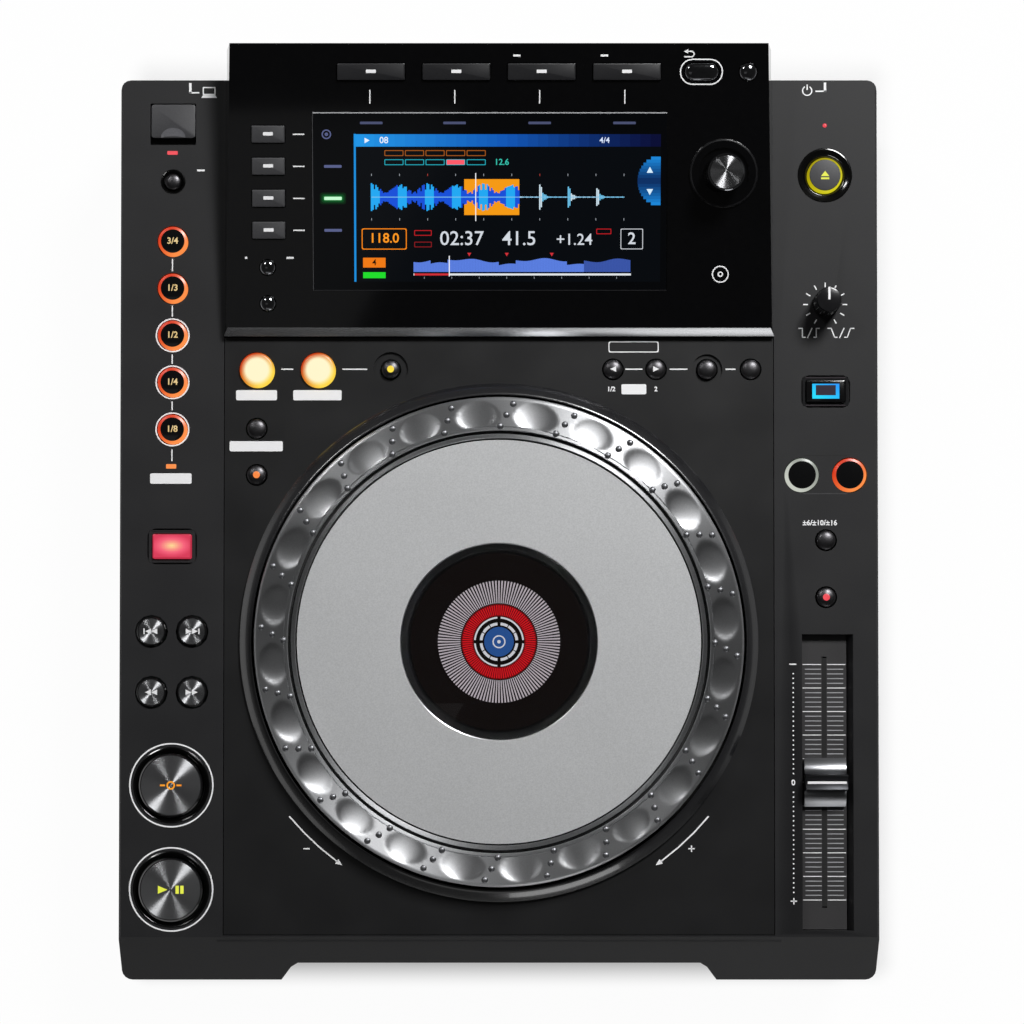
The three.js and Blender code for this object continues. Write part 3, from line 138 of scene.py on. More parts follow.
def turned_tint(first: str, second: str, direction: float) -> Tint:
    """Tint that runs round a button from one side to the other.

    Args:
        first: Colour on the side away from the direction.
        second: Colour on the side of the direction.
        direction: Angle in degrees.

    Returns:
        Function of a face's middle in the button's own frame.
    """
    towards = Vector((math.cos(math.radians(direction)), math.sin(math.radians(direction)), 0))

    def pick(middle: Vector) -> str:
        """Colour of a face by its side."""
        flat = Vector((middle.x, middle.y, 0))
        side = flat.normalized().dot(towards) if flat.length > 1e-6 else 0.0
        return blend(first, second, 0.5 + 0.62 * side)

    return pick


def add_node(tree: NodeTree, kind: str, settings: dict | None = None,
             links: dict | None = None) -> Node:
    """Adds a node with its settings and links.

    Args:
        tree: Tree that gets the node.
        kind: Type name of the node.
        settings: Values by attribute, input name or input number; "stops" holds a ramp's places and colours.
        links: Output sockets, or nodes for their first one, by input name or number.

    Returns:
        The new node.
    """
    node = tree.nodes.new(kind)
    for key, value in (settings or {}).items():
        if key == "stops":
            for stop, (position, colour) in zip(node.color_ramp.elements, value):
                stop.position, stop.color = position, linear(colour)
        elif isinstance(key, str) and hasattr(node, key):
            setattr(node, key, value)
        else:
            node.inputs[key].default_value = value
    for key, source in (links or {}).items():
        tree.links.new(source.outputs[0] if isinstance(source, Node) else source, node.inputs[key])
    return node


def empty_tree(owner: Material | bpy.types.World) -> NodeTree:
    """Empties the node tree of a new material or world.

    Args:
        owner: The material or world.

    Returns:
        Its tree.
    """
    owner.use_nodes = True
    owner.node_tree.nodes.clear()
    return owner.node_tree


@dataclass(frozen=True)
class Finish:
    """A surface finish. Each kind has its own build method."""

    name: str

    def build(self) -> Material:
        """Makes the material."""
        raise NotImplementedError

    def start(self) -> tuple[Material, NodeTree]:
        """Starts the material and gives it with its empty tree."""
        material = bpy.data.materials.new(self.name)
        return material, empty_tree(material)

    @staticmethod
    def end(material: Material, settings: dict, links: dict) -> Material:
        """Ends a material in its shader.

        Args:
            material: The material with its patterns made.
            settings: Uniform values of the shader.
            links: Patterns by shader input.

        Returns:
            The material.
        """
        shader = add_node(material.node_tree, "ShaderNodeBsdfPrincipled", settings, links)
        add_node(material.node_tree, "ShaderNodeOutputMaterial", links={"Surface": shader})
        return material


@dataclass(frozen=True)
class WorkedFinish(Finish):
    """Solid surface with two close tones, an uneven roughness and a shallow relief."""

    dark: str
    light: str
    roughness: float

    def dress(self, material: Material, settings: dict, tone: Source, cloud: Source,
              spread: float, bump: dict, height: Source, links: dict) -> Material:
        """Ends the material with its tones, roughness and relief.

        Args:
            material: Material under construction.
            settings: Uniform values of the shader.
            tone: What picks between the tones.
            cloud: What varies the roughness.
            spread: Reach of the roughness to both sides.
            bump: Settings of the relief.
            height: The relief's height.
            links: More patterns by shader input.

        Returns:
            The material.
        """
        tree = material.node_tree
        ramp = add_node(tree, "ShaderNodeValToRGB", {"stops": ((0.3, self.dark), (0.7, self.light))}, {"Fac": tone})
        rough = add_node(tree, "ShaderNodeMapRange", {
            "To Min": self.roughness - spread, "To Max": self.roughness + spread}, {"Value": cloud})
        relief = add_node(tree, "ShaderNodeBump", bump, {"Height": height})
        return self.end(material, settings, {
            "Base Color": ramp, "Roughness": rough,
            "Normal": relief, **links})


@dataclass(frozen=True)
class Moulding(WorkedFinish):
    """Moulded or painted surface: two close tones over the texture and a shallow grain."""

    grain_mm: float = 0.5
    grain_depth_mm: float = 0.01
    rough_spread: float = 0.05
    coat: float = 0.0
    level: float = 0.5
    cloud_mm: float = 24.0

    def build(self) -> Material:
        """Makes the material."""
        material, tree = self.start()
        place = add_node(tree, "ShaderNodeTexCoord").outputs["Object"]
        grain = add_node(tree, "ShaderNodeTexNoise", {
            "Scale": 1 / (self.grain_mm * MM), "Detail": 2.0, "Roughness": 0.6}, {"Vector": place})
        cloud = add_node(tree, "ShaderNodeTexNoise", {
            "Scale": 1 / (self.cloud_mm * MM), "Detail": 2.0}, {"Vector": place})
        part = add_node(tree, "ShaderNodeMath", {"operation": "MULTIPLY", 1: 0.3}, {0: cloud})
        mixed = add_node(tree, "ShaderNodeMath", {"operation": "MULTIPLY_ADD", 1: 0.7},
                         {0: grain, 2: part})
        return self.dress(
            material, {"IOR": 1.5, "Coat Weight": self.coat, "Coat Roughness": 0.04,
                       "Specular IOR Level": self.level}, mixed, cloud, self.rough_spread,
            {"Strength": 0.6, "Distance": self.grain_depth_mm * MM}, grain, {})


class Tooling(Enum):
    """How a metal surface was worked."""

    BLASTED = "blasted"
    SPUN = "spun"
    DRAWN = "drawn"


@dataclass(frozen=True)
class Metal(WorkedFinish):
    """Metal or metal-look surface with the marks of its tooling."""

    tooling: Tooling = Tooling.BLASTED
    groove_mm: float = 0.35
    depth_mm: float = 0.01
    metallic: float = 1.0
    stretch: float = 0.0
    cloud_mm: float = 30.0

    def build(self) -> Material:
        """Makes the material."""
        material, tree = self.start()
        spun, links = self.tooling is Tooling.SPUN, {}
        place = add_node(tree, "ShaderNodeTexCoord").outputs["Object"]
        line = place
        if self.tooling is Tooling.DRAWN:
            line = add_node(tree, "ShaderNodeVectorMath", {"operation": "MULTIPLY", 1: (0.02, 1, 1)},
                            {0: place})
        marks = add_node(tree, "ShaderNodeTexNoise", {
            "Scale": 1 / (self.groove_mm * MM), "Detail": 3.0, "Roughness": 0.6}, {"Vector": line})
        cloud = add_node(tree, "ShaderNodeTexNoise", {"Scale": 1 / (self.cloud_mm * MM)}, {"Vector": place})
        if spun:
            links["Tangent"] = add_node(tree, "ShaderNodeTangent", {
                "direction_type": "RADIAL", "axis": "Z"})
        return self.dress(
            material, {"Metallic": self.metallic, "Anisotropic": self.stretch,
                       "Anisotropic Rotation": 0.25 if spun else 0.0}, marks, cloud, 0.03,
            {"Strength": 0.5, "Distance": self.depth_mm * MM}, marks, links)


@dataclass(frozen=True)
class LitPlastic(Finish):
    """Milky plastic lit from behind, a little uneven as the light guide under it."""

    glow: str
    edge: str
    strength: float = 1.0
    roughness: float = 0.3
    patch_mm: float = 4.0

    def build(self) -> Material:
        """Makes the material."""
        material, tree = self.start()
        place = add_node(tree, "ShaderNodeTexCoord").outputs["Object"]
        patch = add_node(tree, "ShaderNodeTexNoise", {"Scale": 1 / (self.patch_mm * MM)}, {"Vector": place})
        ramp = add_node(tree, "ShaderNodeValToRGB", {"stops": ((0.3, self.edge), (0.7, self.glow))},
                        {"Fac": patch})
        return self.end(material, {"Base Color": linear("#14100c"), "Roughness": self.roughness, "IOR": 1.49,
                                   "Emission Strength": self.strength}, {"Emission Color": ramp})


@dataclass(frozen=True)
class LitPicture(Finish):
    """Picture lit from behind a hard cover, its colours kept in the mesh attribute "tint"."""

    strength: float = 1.0
    roughness: float = 0.08
    level: float = 0.3

    def build(self) -> Material:
        """Makes the material."""
        material, tree = self.start()
        tint = add_node(tree, "ShaderNodeAttribute", {"attribute_name": "tint"})
        return self.end(material, {
            "Base Color": linear("#040506"), "Roughness": self.roughness, "IOR": 1.5,
            "Specular IOR Level": self.level, "Emission Strength": self.strength},
            {"Emission Color": tint})


@dataclass(frozen=True)
class ClearPlastic(Finish):
    """Clear acrylic with a faint haze."""

    tint: str
    haze: float = 0.004
    haze_mm: float = 18.0

    def build(self) -> Material:
        """Makes the material."""
        material, tree = self.start()
        place = add_node(tree, "ShaderNodeTexCoord").outputs["Object"]
        cloud = add_node(tree, "ShaderNodeTexNoise", {"Scale": 1 / (self.haze_mm * MM)}, {"Vector": place})
        rough = add_node(tree, "ShaderNodeMapRange", {"To Min": 0.0, "To Max": self.haze},
                         {"Value": cloud})
        return self.end(material, {"Base Color": linear(self.tint), "IOR": 1.49, "Transmission Weight": 1.0},
                        {"Roughness": rough})


@functools.lru_cache(maxsize=None)
def paint(finish: Finish) -> Material:
    """The material of a finish, made once."""
    return finish.build()


# Fine-textured painted ABS of the side strips and the lip: soft grey sheen, no gloss.
CASE_PAINT = Moulding("textured_abs_paint", "#1b1b1d", "#242425", 0.46, 0.5, 0.012, 0.05, 0.0, 0.34)
# Smoother moulded ABS of the centre panel, a tone darker than the strips.
PANEL_PLASTIC = Moulding("satin_moulded_abs", "#121213", "#171718", 0.36, 0.4, 0.006)
# The same plastic polished on the rim, so that its slope gathers the light of the walls.
RIM_PLASTIC = Moulding("polished_rim_abs", "#1a1a1c", "#202022", 0.22, 0.4, 0.003, 0.03, 1.0, 1.0)
# Piano-black moulded housing: nearly black with a hard clear gloss.
GLOSS_BLACK = Moulding("piano_black_abs", "#050506", "#070708", 0.05, 3.0, 0.0005, 0.01, 0.3, 0.4)
# Powder-coated sheet steel of the base, with an orange-peel grain.
CHASSIS_COAT = Moulding("powder_coated_steel", "#17181a", "#1f2022", 0.55, 1.2, 0.03)
# Moulded rubber of the feet, matt and a little dusty.
FOOT_RUBBER = Moulding("moulded_rubber", "#0e0e0f", "#151516", 0.8, 0.9, 0.02)
# Matt black plastic of real black parts, also laid in wells, seams, the slider's slot and the rear edge of the sync
# recess as painted shade, so that they stay dark.
SHADOW_BLACK = Moulding("matt_black_plastic_and_painted_shade", "#060606", "#0a0a0a", 0.7, 0.6)
# Gloss black of the bezels round the large buttons.
BEZEL_BLACK = Moulding("gloss_black_bezel", "#050505", "#080808", 0.14, 1.0, 0.002, 0.03, 0.4)
# Smooth black button cap with a soft shine on its dome.
CAP_BLACK = Moulding("satin_black_cap", "#131314", "#1c1c1e", 0.22, 0.6, 0.002)
# Pearly dark domes of the small deck buttons: a broad soft highlight.
CAP_PEARL = Metal("dark_pearl_dome", "#4a494b", "#565557", 0.36, Tooling.BLASTED, 0.6, 0.002)
# Glossy black cap centre.
CAP_GLOSS = Moulding("gloss_black_cap", "#0a0a0b", "#0e0e0f", 0.12, 0.6, 0.001, 0.02, 0.5)
# Chrome-like black domes of the small buttons on the display face.
CAP_MIRROR = Metal("dark_chrome_dome", "#77787b", "#8a8b8e", 0.08, Tooling.BLASTED, 2.0, 0.001)
# Charcoal tops of the source keys, also laid as painted highlight lines on the display cover's left edge and the front
# edge of the recess between sync and master.
KEY_GREY_AND_EDGE_HIGHLIGHT = Moulding("charcoal_key_plastic_and_edge_highlight", "#3a3a3c", "#454547", 0.38, 0.5, 0.006)
# Darker key tops above the display, also laid as a dim painted highlight along the display cover's front edge.
KEY_DARK_AND_EDGE_HIGHLIGHT = Moulding("dark_key_plastic_and_edge_highlight", "#1c1c1e", "#262628", 0.3, 0.5, 0.004)
# Grey moulding of the stick door.
DOOR_GREY = Moulding("grey_moulded_abs", "#343436", "#3f3f42", 0.42, 0.5)
# Polished scoop of the door.
SCOOP_GREY = Moulding("polished_grey_abs", "#5a5a5e", "#6c6c70", 0.25, 0.5, 0.003)
# Slider plate, moulded plastic with a fine grain.
PLATE_GREY = Moulding("slider_plate_abs", "#2d2c2d", "#373637", 0.42, 0.5)
# Lighter metal strips on the front and rear edges of the mode key's frame: a painted highlight of those edges.
FRAME_EDGE_HIGHLIGHT = Metal("key_frame_edge_highlight", "#4a4549", "#5a5458", 0.32, Tooling.DRAWN, 0.3, 0.004)
# White screen print on the case.
WHITE_INK = Moulding("white_screen_print", "#f8f8fa", "#ffffff", 0.5, 0.3, 0.002)
# Grey screen print of the slider's fine lines, also laid as the painted highlight along the display cover's rear edge.
GREY_INK_AND_EDGE_HIGHLIGHT = Moulding("grey_print_and_edge_highlight", "#a6a7aa", "#b2b3b6", 0.5, 0.3, 0.002)
# Beige print on the beat caps.
BEIGE_INK = LitPlastic("lit_beige_print", "#f4d9a0", "#e8c784", 0.9)
# Green fibreglass board laminate.
BOARD_GREEN = Moulding("glass_epoxy_laminate", "#12351f", "#1a4a2c", 0.5, 0.8)
# Silver metallic lacquer of the jog plate: pale grey, fine sparkle, broad sheen.
PLATE_METAL = Metal("silver_metallic_lacquer", "#c2c3c4", "#d4d5d6", 0.46, Tooling.BLASTED, 0.6, 0.012, 0.45)
# Metal-painted ring with a turned sheen that runs round it.
RING_PAINT = Metal("turned_metallic_ring", "#c2c3c5", "#cfd0d2", 0.36, Tooling.SPUN, 0.5, 0.002, 1.0, 0.82)
# Small domes of the ring, the same paint without the turned sheen.
BUMP_PAINT = Metal("metallic_painted_dome", "#7c7d80", "#8a8b8e", 0.4, Tooling.BLASTED, 0.5, 0.002)
# Polished bright edge of the trim ring.
TRIM_METAL = Metal("polished_trim_aluminium", "#c8c9cb", "#dcdddf", 0.32, Tooling.SPUN, 0.6, 0.002, 1.0, 0.85)
# Bright nickel plate of the rear sockets and the inlet's blades.
NICKEL = Metal("bright_nickel_plate", "#b4b4b2", "#c8c8c5", 0.24, Tooling.BLASTED, 1.0, 0.001)
# Gold-plated contact strips inside the network socket.
GOLD = Metal("gold_plated_contact", "#b48c38", "#c89e48", 0.28, Tooling.BLASTED, 0.8, 0.001)
# Red moulded insulator of the right audio socket.
RED_INSULATOR = Moulding("red_moulded_insulator", "#8c181a", "#9c1e20", 0.4, 0.6, 0.003)
# Satin aluminium strip along the housing's front edge, drawn along its length.
STRIP_METAL = Metal("satin_aluminium_strip", "#a6a7a9", "#b2b3b5", 0.2, Tooling.DRAWN, 0.3, 0.0004)
# Dark chrome slider cap, drawn along its width.
SLIDER_CHROME = Metal("dark_chrome_slider", "#8f9093", "#a3a4a7", 0.3, Tooling.DRAWN, 0.3, 0.004)
# Darker ridge of the slider.
SLIDER_RIDGE = Metal("gunmetal_slider_ridge", "#48494c", "#56575a", 0.36, Tooling.DRAWN, 0.3, 0.004)
# Dark disc turned on a lathe: fine rings that gather the light into spokes.
SPUN_CAP = Metal("spun_dark_aluminium", "#bcbdc0", "#cbccce", 0.26, Tooling.SPUN, 0.3, 0.001, 1.0, 1.0)
# Zinc-plated steel of the drive and shafts.
ZINC = Metal("zinc_plated_steel", "#8d9093", "#a6a9ac", 0.38, Tooling.BLASTED, 1.4, 0.004)
# Lit plastics, named by what they light.
LIT_AMBER = LitPlastic("lit_amber_guide", "#ff9a54", "#f88038", 1.0)
LIT_YELLOW_DOT = LitPlastic("lit_yellow_dot", "#ffe34a", "#f8d030", 1.0)
LIT_RED = LitPlastic("lit_red_guide", "#ff5a64", "#f04050", 0.9)
LIT_LIME = LitPlastic("lit_lime_guide", "#ecf058", "#dce440", 1.0)
LIT_TINTED = LitPicture("lit_tinted_guide", 1.0, 0.3, 0.5)
SCREEN_PICTURE = LitPicture("colour_display_picture")
CLEAR_ACRYLIC = ClearPlastic("clear_acrylic_window", "#f8f8fa")


# Mesh making.


def circle(radius: float, sides: int = 48) -> list[Point]:
    """Points of a circle, counter-clockwise."""
    return [(radius * math.cos(TURN * i / sides), radius * math.sin(TURN * i / sides)) for i in range(sides)]


def rounded(width: float, length: float, corner: float, steps: int = 4, shrink: float = 0.0) -> Outline:
    """Rectangle with round corners.

    Args:
        width: Size across X.
        length: Size along Y.
        corner: Corner radius.
        steps: Segments of each corner.
        shrink: How much the corner radius loses for each millimetre of inset.

    Returns:
        Function from an inset to the points, counter-clockwise from the right rear corner.
    """
    def outline(inset: float) -> list[Point]:
        """Points of the outline, moved inwards by the inset."""
        w, l = width - 2 * inset, length - 2 * inset
        radius = max(0.01, min(corner - shrink * inset, w / 2 - 0.01, l / 2 - 0.01))
        return [(sx * (w / 2 - radius) + radius * math.cos((start + i / steps) * TURN / 4),
                 sy * (l / 2 - radius) + radius * math.sin((start + i / steps) * TURN / 4))
                for sx, sy, start in ((1, 1, 0), (-1, 1, 1), (-1, -1, 2), (1, -1, 3)) for i in range(steps + 1)]

    return outline


class Shape:
    """Mesh under construction, in millimetres, with a material number and a tint on each face."""

    def __init__(self) -> None:
        """Starts empty."""
        self.verts: list[Vector] = []
        self.faces: list[tuple[int, ...]] = []
        self.marks: list[tuple[int, str]] = []

    def add(self, verts: Iterable[Point], faces: Iterable[Sequence[int]], place: Matrix,
            slot: int = 0, tint: Tint = "") -> None:
        """Adds points and faces.

        Args:
            verts: Points in the place's own frame.
            faces: Point numbers of each face.
            place: Where they go.
            slot: Material number.
            tint: sRGB colour kept on the faces, or a function of a face's middle.
        """
        start = len(self.verts)
        points = [Vector((*v, 0.0)[:3]) for v in verts]
        self.verts += [place @ p for p in points]
        for face in faces:
            self.faces.append(tuple(start + i for i in face))
            colour = tint(sum((points[i] for i in face), Vector()) / len(face)) if callable(tint) else tint
            self.marks.append((slot, colour))

    def loft(self, rings: Sequence[Sequence[Point]], place: Matrix, slots: Sequence[int] = (0,),
             tint: Tint = "", closed: bool = False) -> None:
        """Skins rings of equal count into a closed body.

        Args:
            rings: Rings of 3-D points, all of one count.
            place: Where the body goes.
            slots: Material number of each band, the last one repeated and used for the far end.
            tint: Colour of the faces.
            closed: True where the last ring joins the first, as in a torus.
        """
        count = len(rings[0])
        band_faces = [(i, (i + 1) % count, count + (i + 1) % count, count + i) for i in range(count)]
        for band in range(len(rings) - (0 if closed else 1)):
            near, far = rings[band], rings[(band + 1) % len(rings)]
            self.add([*near, *far], band_faces, place, slots[min(band, len(slots) - 1)], tint)
        if not closed:
            self.add(rings[0], [tuple(range(count))[::-1]], place, slots[0], tint)
            self.add(rings[-1], [tuple(range(count))], place, slots[-1], tint)

    def lathe(self, profile: Sequence[Point], place: Matrix, slots: Sequence[int] = (0,), sides: int = 48,
              closed: bool = False, tint: Tint = "") -> None:
        """Turns a profile of (radius, height) points round Z."""
        rings = [[(x, y, z) for x, y in circle(max(r, 0.001), sides)] for r, z in profile]
        self.loft(rings, place, slots, tint, closed)

    def slab(self, outline: Outline, steps: Sequence[Point], place: Matrix, slots: Sequence[int] = (0,),
             tint: Tint = "") -> None:
        """Stacks an outline at pairs of inset and height, from the bottom up."""
        self.loft([[(x, y, z) for x, y in outline(inset)] for inset, z in steps], place, slots, tint)

    def bar(self, width: float, length: float, place: Matrix, height: float = 0.04, corner: float = 0.0,
            slot: int = 0, tint: Tint = "") -> None:
        """Flat bar centred on a place, for printed marks and small windows."""
        self.polygon(rounded(width, length, corner, 4 if corner else 1)(0), place, height, slot, tint)

    def frame(self, outline: Outline, width: float, place: Matrix, low: float = -0.02, high: float = 0.04,
              slot: int = 0, tint: Tint = "") -> None:
        """Band of a given width inside an outline, between two heights."""
        steps = ((width, low), (0, low), (0, high), (width, high))
        self.loft([[(x, y, z) for x, y in outline(inset)] for inset, z in steps], place, (slot,), tint, True)

    def line(self, points: Sequence[Point], width: float, place: Matrix) -> None:
        """Printed line through points, each stretch a thin bar.

        Args:
            points: Points of the line.
            width: Its width.
            place: Frame of the points.
        """
        for (ax, ay), (bx, by) in zip(points, points[1:]):
            turn = Matrix.Rotation(math.atan2(by - ay, bx - ax), 4, "Z")
            self.bar(math.hypot(bx - ax, by - ay) + width * 0.5, width,
                     shifted(place, (ax + bx) / 2, (ay + by) / 2) @ turn)

    def polygon(self, points: Sequence[Point], place: Matrix, height: float = 0.04, slot: int = 0,
                tint: Tint = "") -> None:
        """Flat simple polygon with a small thickness."""
        self.slab(lambda inset: points, ((0, -height / 2), (0, height)), place, (slot,), tint)

    def ring(self, outer: float, inner: float, place: Matrix, height: float = 0.04, slot: int = 0,
             sides: int = 64, tint: Tint = "") -> None:
        """Flat printed ring."""
        profile = [(inner, -height / 2), (outer, -height / 2), (outer, height), (inner, height)]
        self.lathe(profile, place, (slot,), sides, True, tint)

    def arc(self, outer: float, inner: float, start: float, end: float, place: Matrix, tint: Tint = "") -> None:
        """Part of a flat ring as one closed strip.

        Args:
            outer: Outer radius.
            inner: Inner radius.
            start: First angle in degrees.
            end: Last angle in degrees.
            place: Middle of the ring.
            tint: Colour of the faces.
        """
        steps = max(1, math.ceil(abs(end - start) / 5))
        angles = [math.radians(start + (end - start) * i / steps) for i in range(steps + 1)]
        rim = [(outer * math.cos(a), outer * math.sin(a)) for a in angles]
        back = [(inner * math.cos(a), inner * math.sin(a)) for a in reversed(angles)]
        self.polygon([*rim, *back], place, tint=tint)

    def digits(self, text: str, size: float, place: Matrix, slot: int = 0, weight: float = 0.012,
               tint: Tint = "") -> None:
        """Adds numbers and signs as a thin solid, centred on a place.

        Args:
            text: Digits and signs.
            size: Font size.
            place: Where the middle of the text lies.
            slot: Material number.
            weight: Growth of the strokes as a share of the size.
            tint: Colour of the faces.
        """
        curve = bpy.data.curves.new("digits", "FONT")
        curve.body, curve.size, curve.extrude = text, size, 0.04
        curve.align_x, curve.align_y, curve.offset = "CENTER", "CENTER", weight * size
        curve.resolution_u = 3
        holder = bpy.data.objects.new("digits", curve)
        mesh = bpy.data.meshes.new_from_object(holder)
        self.add([tuple(v.co) for v in mesh.vertices], [tuple(p.vertices) for p in mesh.polygons], place, slot, tint)
        bpy.data.objects.remove(holder)
        bpy.data.meshes.remove(mesh)
        bpy.data.curves.remove(curve)

    def build(self, name: str, finishes: Sequence[Finish], smooth: float = 32.0) -> Object:
        """Makes the object.

        Args:
            name: Name of the piece.
            finishes: Finish of each material number.
            smooth: Angle in degrees below which edges are shaded smooth.

        Returns:
            The object, at the origin, in metres.
        """
        mesh = bpy.data.meshes.new(name)
        mesh.from_pydata([tuple(v * MM) for v in self.verts], [], self.faces)
        work = bmesh.new()
        work.from_mesh(mesh)
        layer = work.loops.layers.float_color.new("tint") if any(tint for _, tint in self.marks) else None
        for face, (slot, tint) in zip(work.faces, self.marks):
            face.material_index = slot
            for corner in face.loops if layer else ():
                corner[layer] = linear(tint or "#000000")
        bmesh.ops.remove_doubles(work, verts=work.verts, dist=1e-6)
        bmesh.ops.dissolve_degenerate(work, edges=work.edges, dist=1e-7)
        bmesh.ops.recalc_face_normals(work, faces=work.faces)
        return linked(name, mesh, work, finishes, smooth)


def linked(name: str, mesh: Mesh, work: bmesh.types.BMesh, finishes: Sequence[Finish],
           smooth: float) -> Object:
    """Ends the work on a mesh, shades it and links it as an object.

    Args:
        name: Name of the object.
        mesh: Its mesh.
        work: The work on the mesh, which is written back and freed.
        finishes: Finish of each material number.
        smooth: Angle in degrees below which edges are shaded smooth.

    Returns:
        The object.
    """
    work.to_mesh(mesh)
    work.free()
    for finish in finishes:
        mesh.materials.append(paint(finish))
    shade(mesh, smooth)
    piece = bpy.data.objects.new(name, mesh)
    bpy.context.scene.collection.objects.link(piece)
    return piece


def shade(mesh: Mesh, smooth: float) -> None:
    """Shades a mesh smooth, apart from edges over an angle in degrees."""
    mesh.polygons.foreach_set("use_smooth", [True] * len(mesh.polygons))
    mesh.set_sharp_from_angle(angle=math.radians(smooth))


def apply_modifiers(piece: Object) -> Object:
    """Turns a piece with its modifiers into a plain mesh.

    Args:
        piece: Object with live modifiers.

    Returns:
        The same object, with the result as its mesh and no modifier.
    """
    bpy.context.view_layer.update()
    evaluated = piece.evaluated_get(bpy.context.evaluated_depsgraph_get())
    mesh = bpy.data.meshes.new_from_object(evaluated)
    piece.modifiers.clear()
    old, piece.data = piece.data, mesh
    bpy.data.meshes.remove(old)
    return piece


def solid_copy(node: str, name: str, finishes: Sequence[Finish]) -> Object:
    """Copies a CAD node's mesh as one welded shell.

    Args:
        node: CAD node.
        name: Name of the copy.
        finishes: Its finishes.

    Returns:
        The new object.
    """
    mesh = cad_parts[node].data.copy()
    mesh.name = name
    mesh.materials.clear()
    work = bmesh.new()
    work.from_mesh(mesh)
    bmesh.ops.remove_doubles(work, verts=work.verts, dist=2e-6)
    bmesh.ops.dissolve_limit(work, angle_limit=math.radians(0.2), verts=work.verts, edges=work.edges)
    return linked(name, mesh, work, finishes, 40)


def trim(piece: Object, tool: Shape) -> None:
    """Cuts a piece with a shape.

    Args:
        piece: Welded object to change.
        tool: Closed bodies that don't touch each other.
    """
    cutter = tool.build("cutter", [SHADOW_BLACK])
    change = piece.modifiers.new("trim", "BOOLEAN")
    change.operation, change.object, change.solver = "DIFFERENCE", cutter, "EXACT"
    apply_modifiers(piece)
    bpy.data.objects.remove(cutter)


def soften(piece: Object, width: float) -> None:
    """Rounds a piece's sharp edges and keeps its flats flat in the shading.

    Args:
        piece: Object to finish.
        width: Radius of the rounding in millimetres.
    """
    bevel = piece.modifiers.new("edges", "BEVEL")
    bevel.width, bevel.segments, bevel.limit_method = width * MM, 2, "ANGLE"
    bevel.angle_limit = math.radians(35)
    apply_modifiers(piece)
    shade(piece.data, 50)
    normals = piece.modifiers.new("normals", "WEIGHTED_NORMAL")
    normals.mode, normals.weight, normals.keep_sharp = "FACE_AREA", 100, True
    apply_modifiers(piece)


def fit(piece: Object, body: str, slot: str, *nodes: str) -> None:
    """Hangs a finished piece on its body and hides the CAD nodes that it replaces.

    Args:
        piece: Finished object.
        body: CAD body it moves with.
        slot: Material slot of the record; not used.
        nodes: CAD nodes that it replaces.
    """
    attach(piece, body)
    if nodes:
        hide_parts(*nodes)
    log.info("%s: %d faces on %s", piece.name, len(piece.data.polygons), body)


# Geometry node trees.


def geometry_tree(name: str, inputs: dict[str, str]) -> tuple[NodeTree, bpy.types.NodeOutputs]:
    """Starts a geometry node tree.

    Args:
        name: Its name.
        inputs: Kind of each input by its name.

    Returns:
        The tree and the sockets that give its inputs.
    """
    tree = bpy.data.node_groups.new(name, "GeometryNodeTree")
    for label, kind in inputs.items():
        tree.interface.new_socket(label, in_out="INPUT", socket_type="NodeSocket" + kind)
    tree.interface.new_socket("Result", in_out="OUTPUT", socket_type="NodeSocketGeometry")
    return tree, add_node(tree, "NodeGroupInput").outputs


def run_tree(piece: Object, tree: NodeTree, values: dict) -> Object:
    """Runs a geometry node tree on a piece.

    Args:
        piece: Object whose mesh goes in.
        tree: The tree.
        values: Input values by socket name.

    Returns:
        The same object with the result as its plain mesh.
    """
    change = piece.modifiers.new(tree.name, "NODES")
    change.node_group = tree
    keys = {item.name: item.identifier for item in tree.interface.items_tree if item.in_out == "INPUT"}
    for name, value in values.items():
        change[keys[name]] = value
    return apply_modifiers(piece)


@functools.lru_cache(maxsize=None)
def repeat_tree() -> NodeTree:
    """Builds the tree that repeats the incoming piece round an arc or along a line.

    Returns:
        The tree: points by index, instances turned with them, realised, one material.
    """
    tree, given = geometry_tree("repeat_piece", {
        "Piece": "Geometry", "Count": "Int", "Start": "Float", "Step": "Float", "Radius": "Float",
        "Centre": "Vector", "Pitch": "Vector", "Tilt": "Vector", "Material": "Material"})
    index = add_node(tree, "GeometryNodeInputIndex")
    points = add_node(tree, "GeometryNodeMeshLine", links={"Count": given["Count"]})
    angle = add_node(tree, "ShaderNodeMath", {"operation": "MULTIPLY_ADD"},
                     {0: index, 1: given["Step"], 2: given["Start"]})
    cosine = add_node(tree, "ShaderNodeMath", {"operation": "COSINE"}, {0: angle})
    sine = add_node(tree, "ShaderNodeMath", {"operation": "SINE"}, {0: angle})
    spoke = add_node(tree, "ShaderNodeCombineXYZ", links={"X": cosine, "Y": sine})
    reach = add_node(tree, "ShaderNodeVectorMath", {"operation": "SCALE"},
                     {0: spoke, "Scale": given["Radius"]})
    row = add_node(tree, "ShaderNodeVectorMath", {"operation": "SCALE"}, {0: given["Pitch"], "Scale": index})
    flat = add_node(tree, "ShaderNodeVectorMath", {"operation": "ADD"}, {0: reach, 1: row})
    moved = add_node(tree, "GeometryNodeSetPosition", links={
        "Geometry": points, "Position": flat})
    turn = add_node(tree, "ShaderNodeCombineXYZ", links={"Z": angle})
    copies = add_node(tree, "GeometryNodeInstanceOnPoints", links={
        "Points": moved, "Instance": given["Piece"], "Rotation": turn})
    real = add_node(tree, "GeometryNodeRealizeInstances", links={"Geometry": copies})
    placed = add_node(tree, "GeometryNodeTransform", links={
        "Geometry": real, "Translation": given["Centre"], "Rotation": given["Tilt"]})
    dressed = add_node(tree, "GeometryNodeSetMaterial", links={
        "Geometry": placed, "Material": given["Material"]})
    add_node(tree, "NodeGroupOutput", links={0: dressed})
    return tree


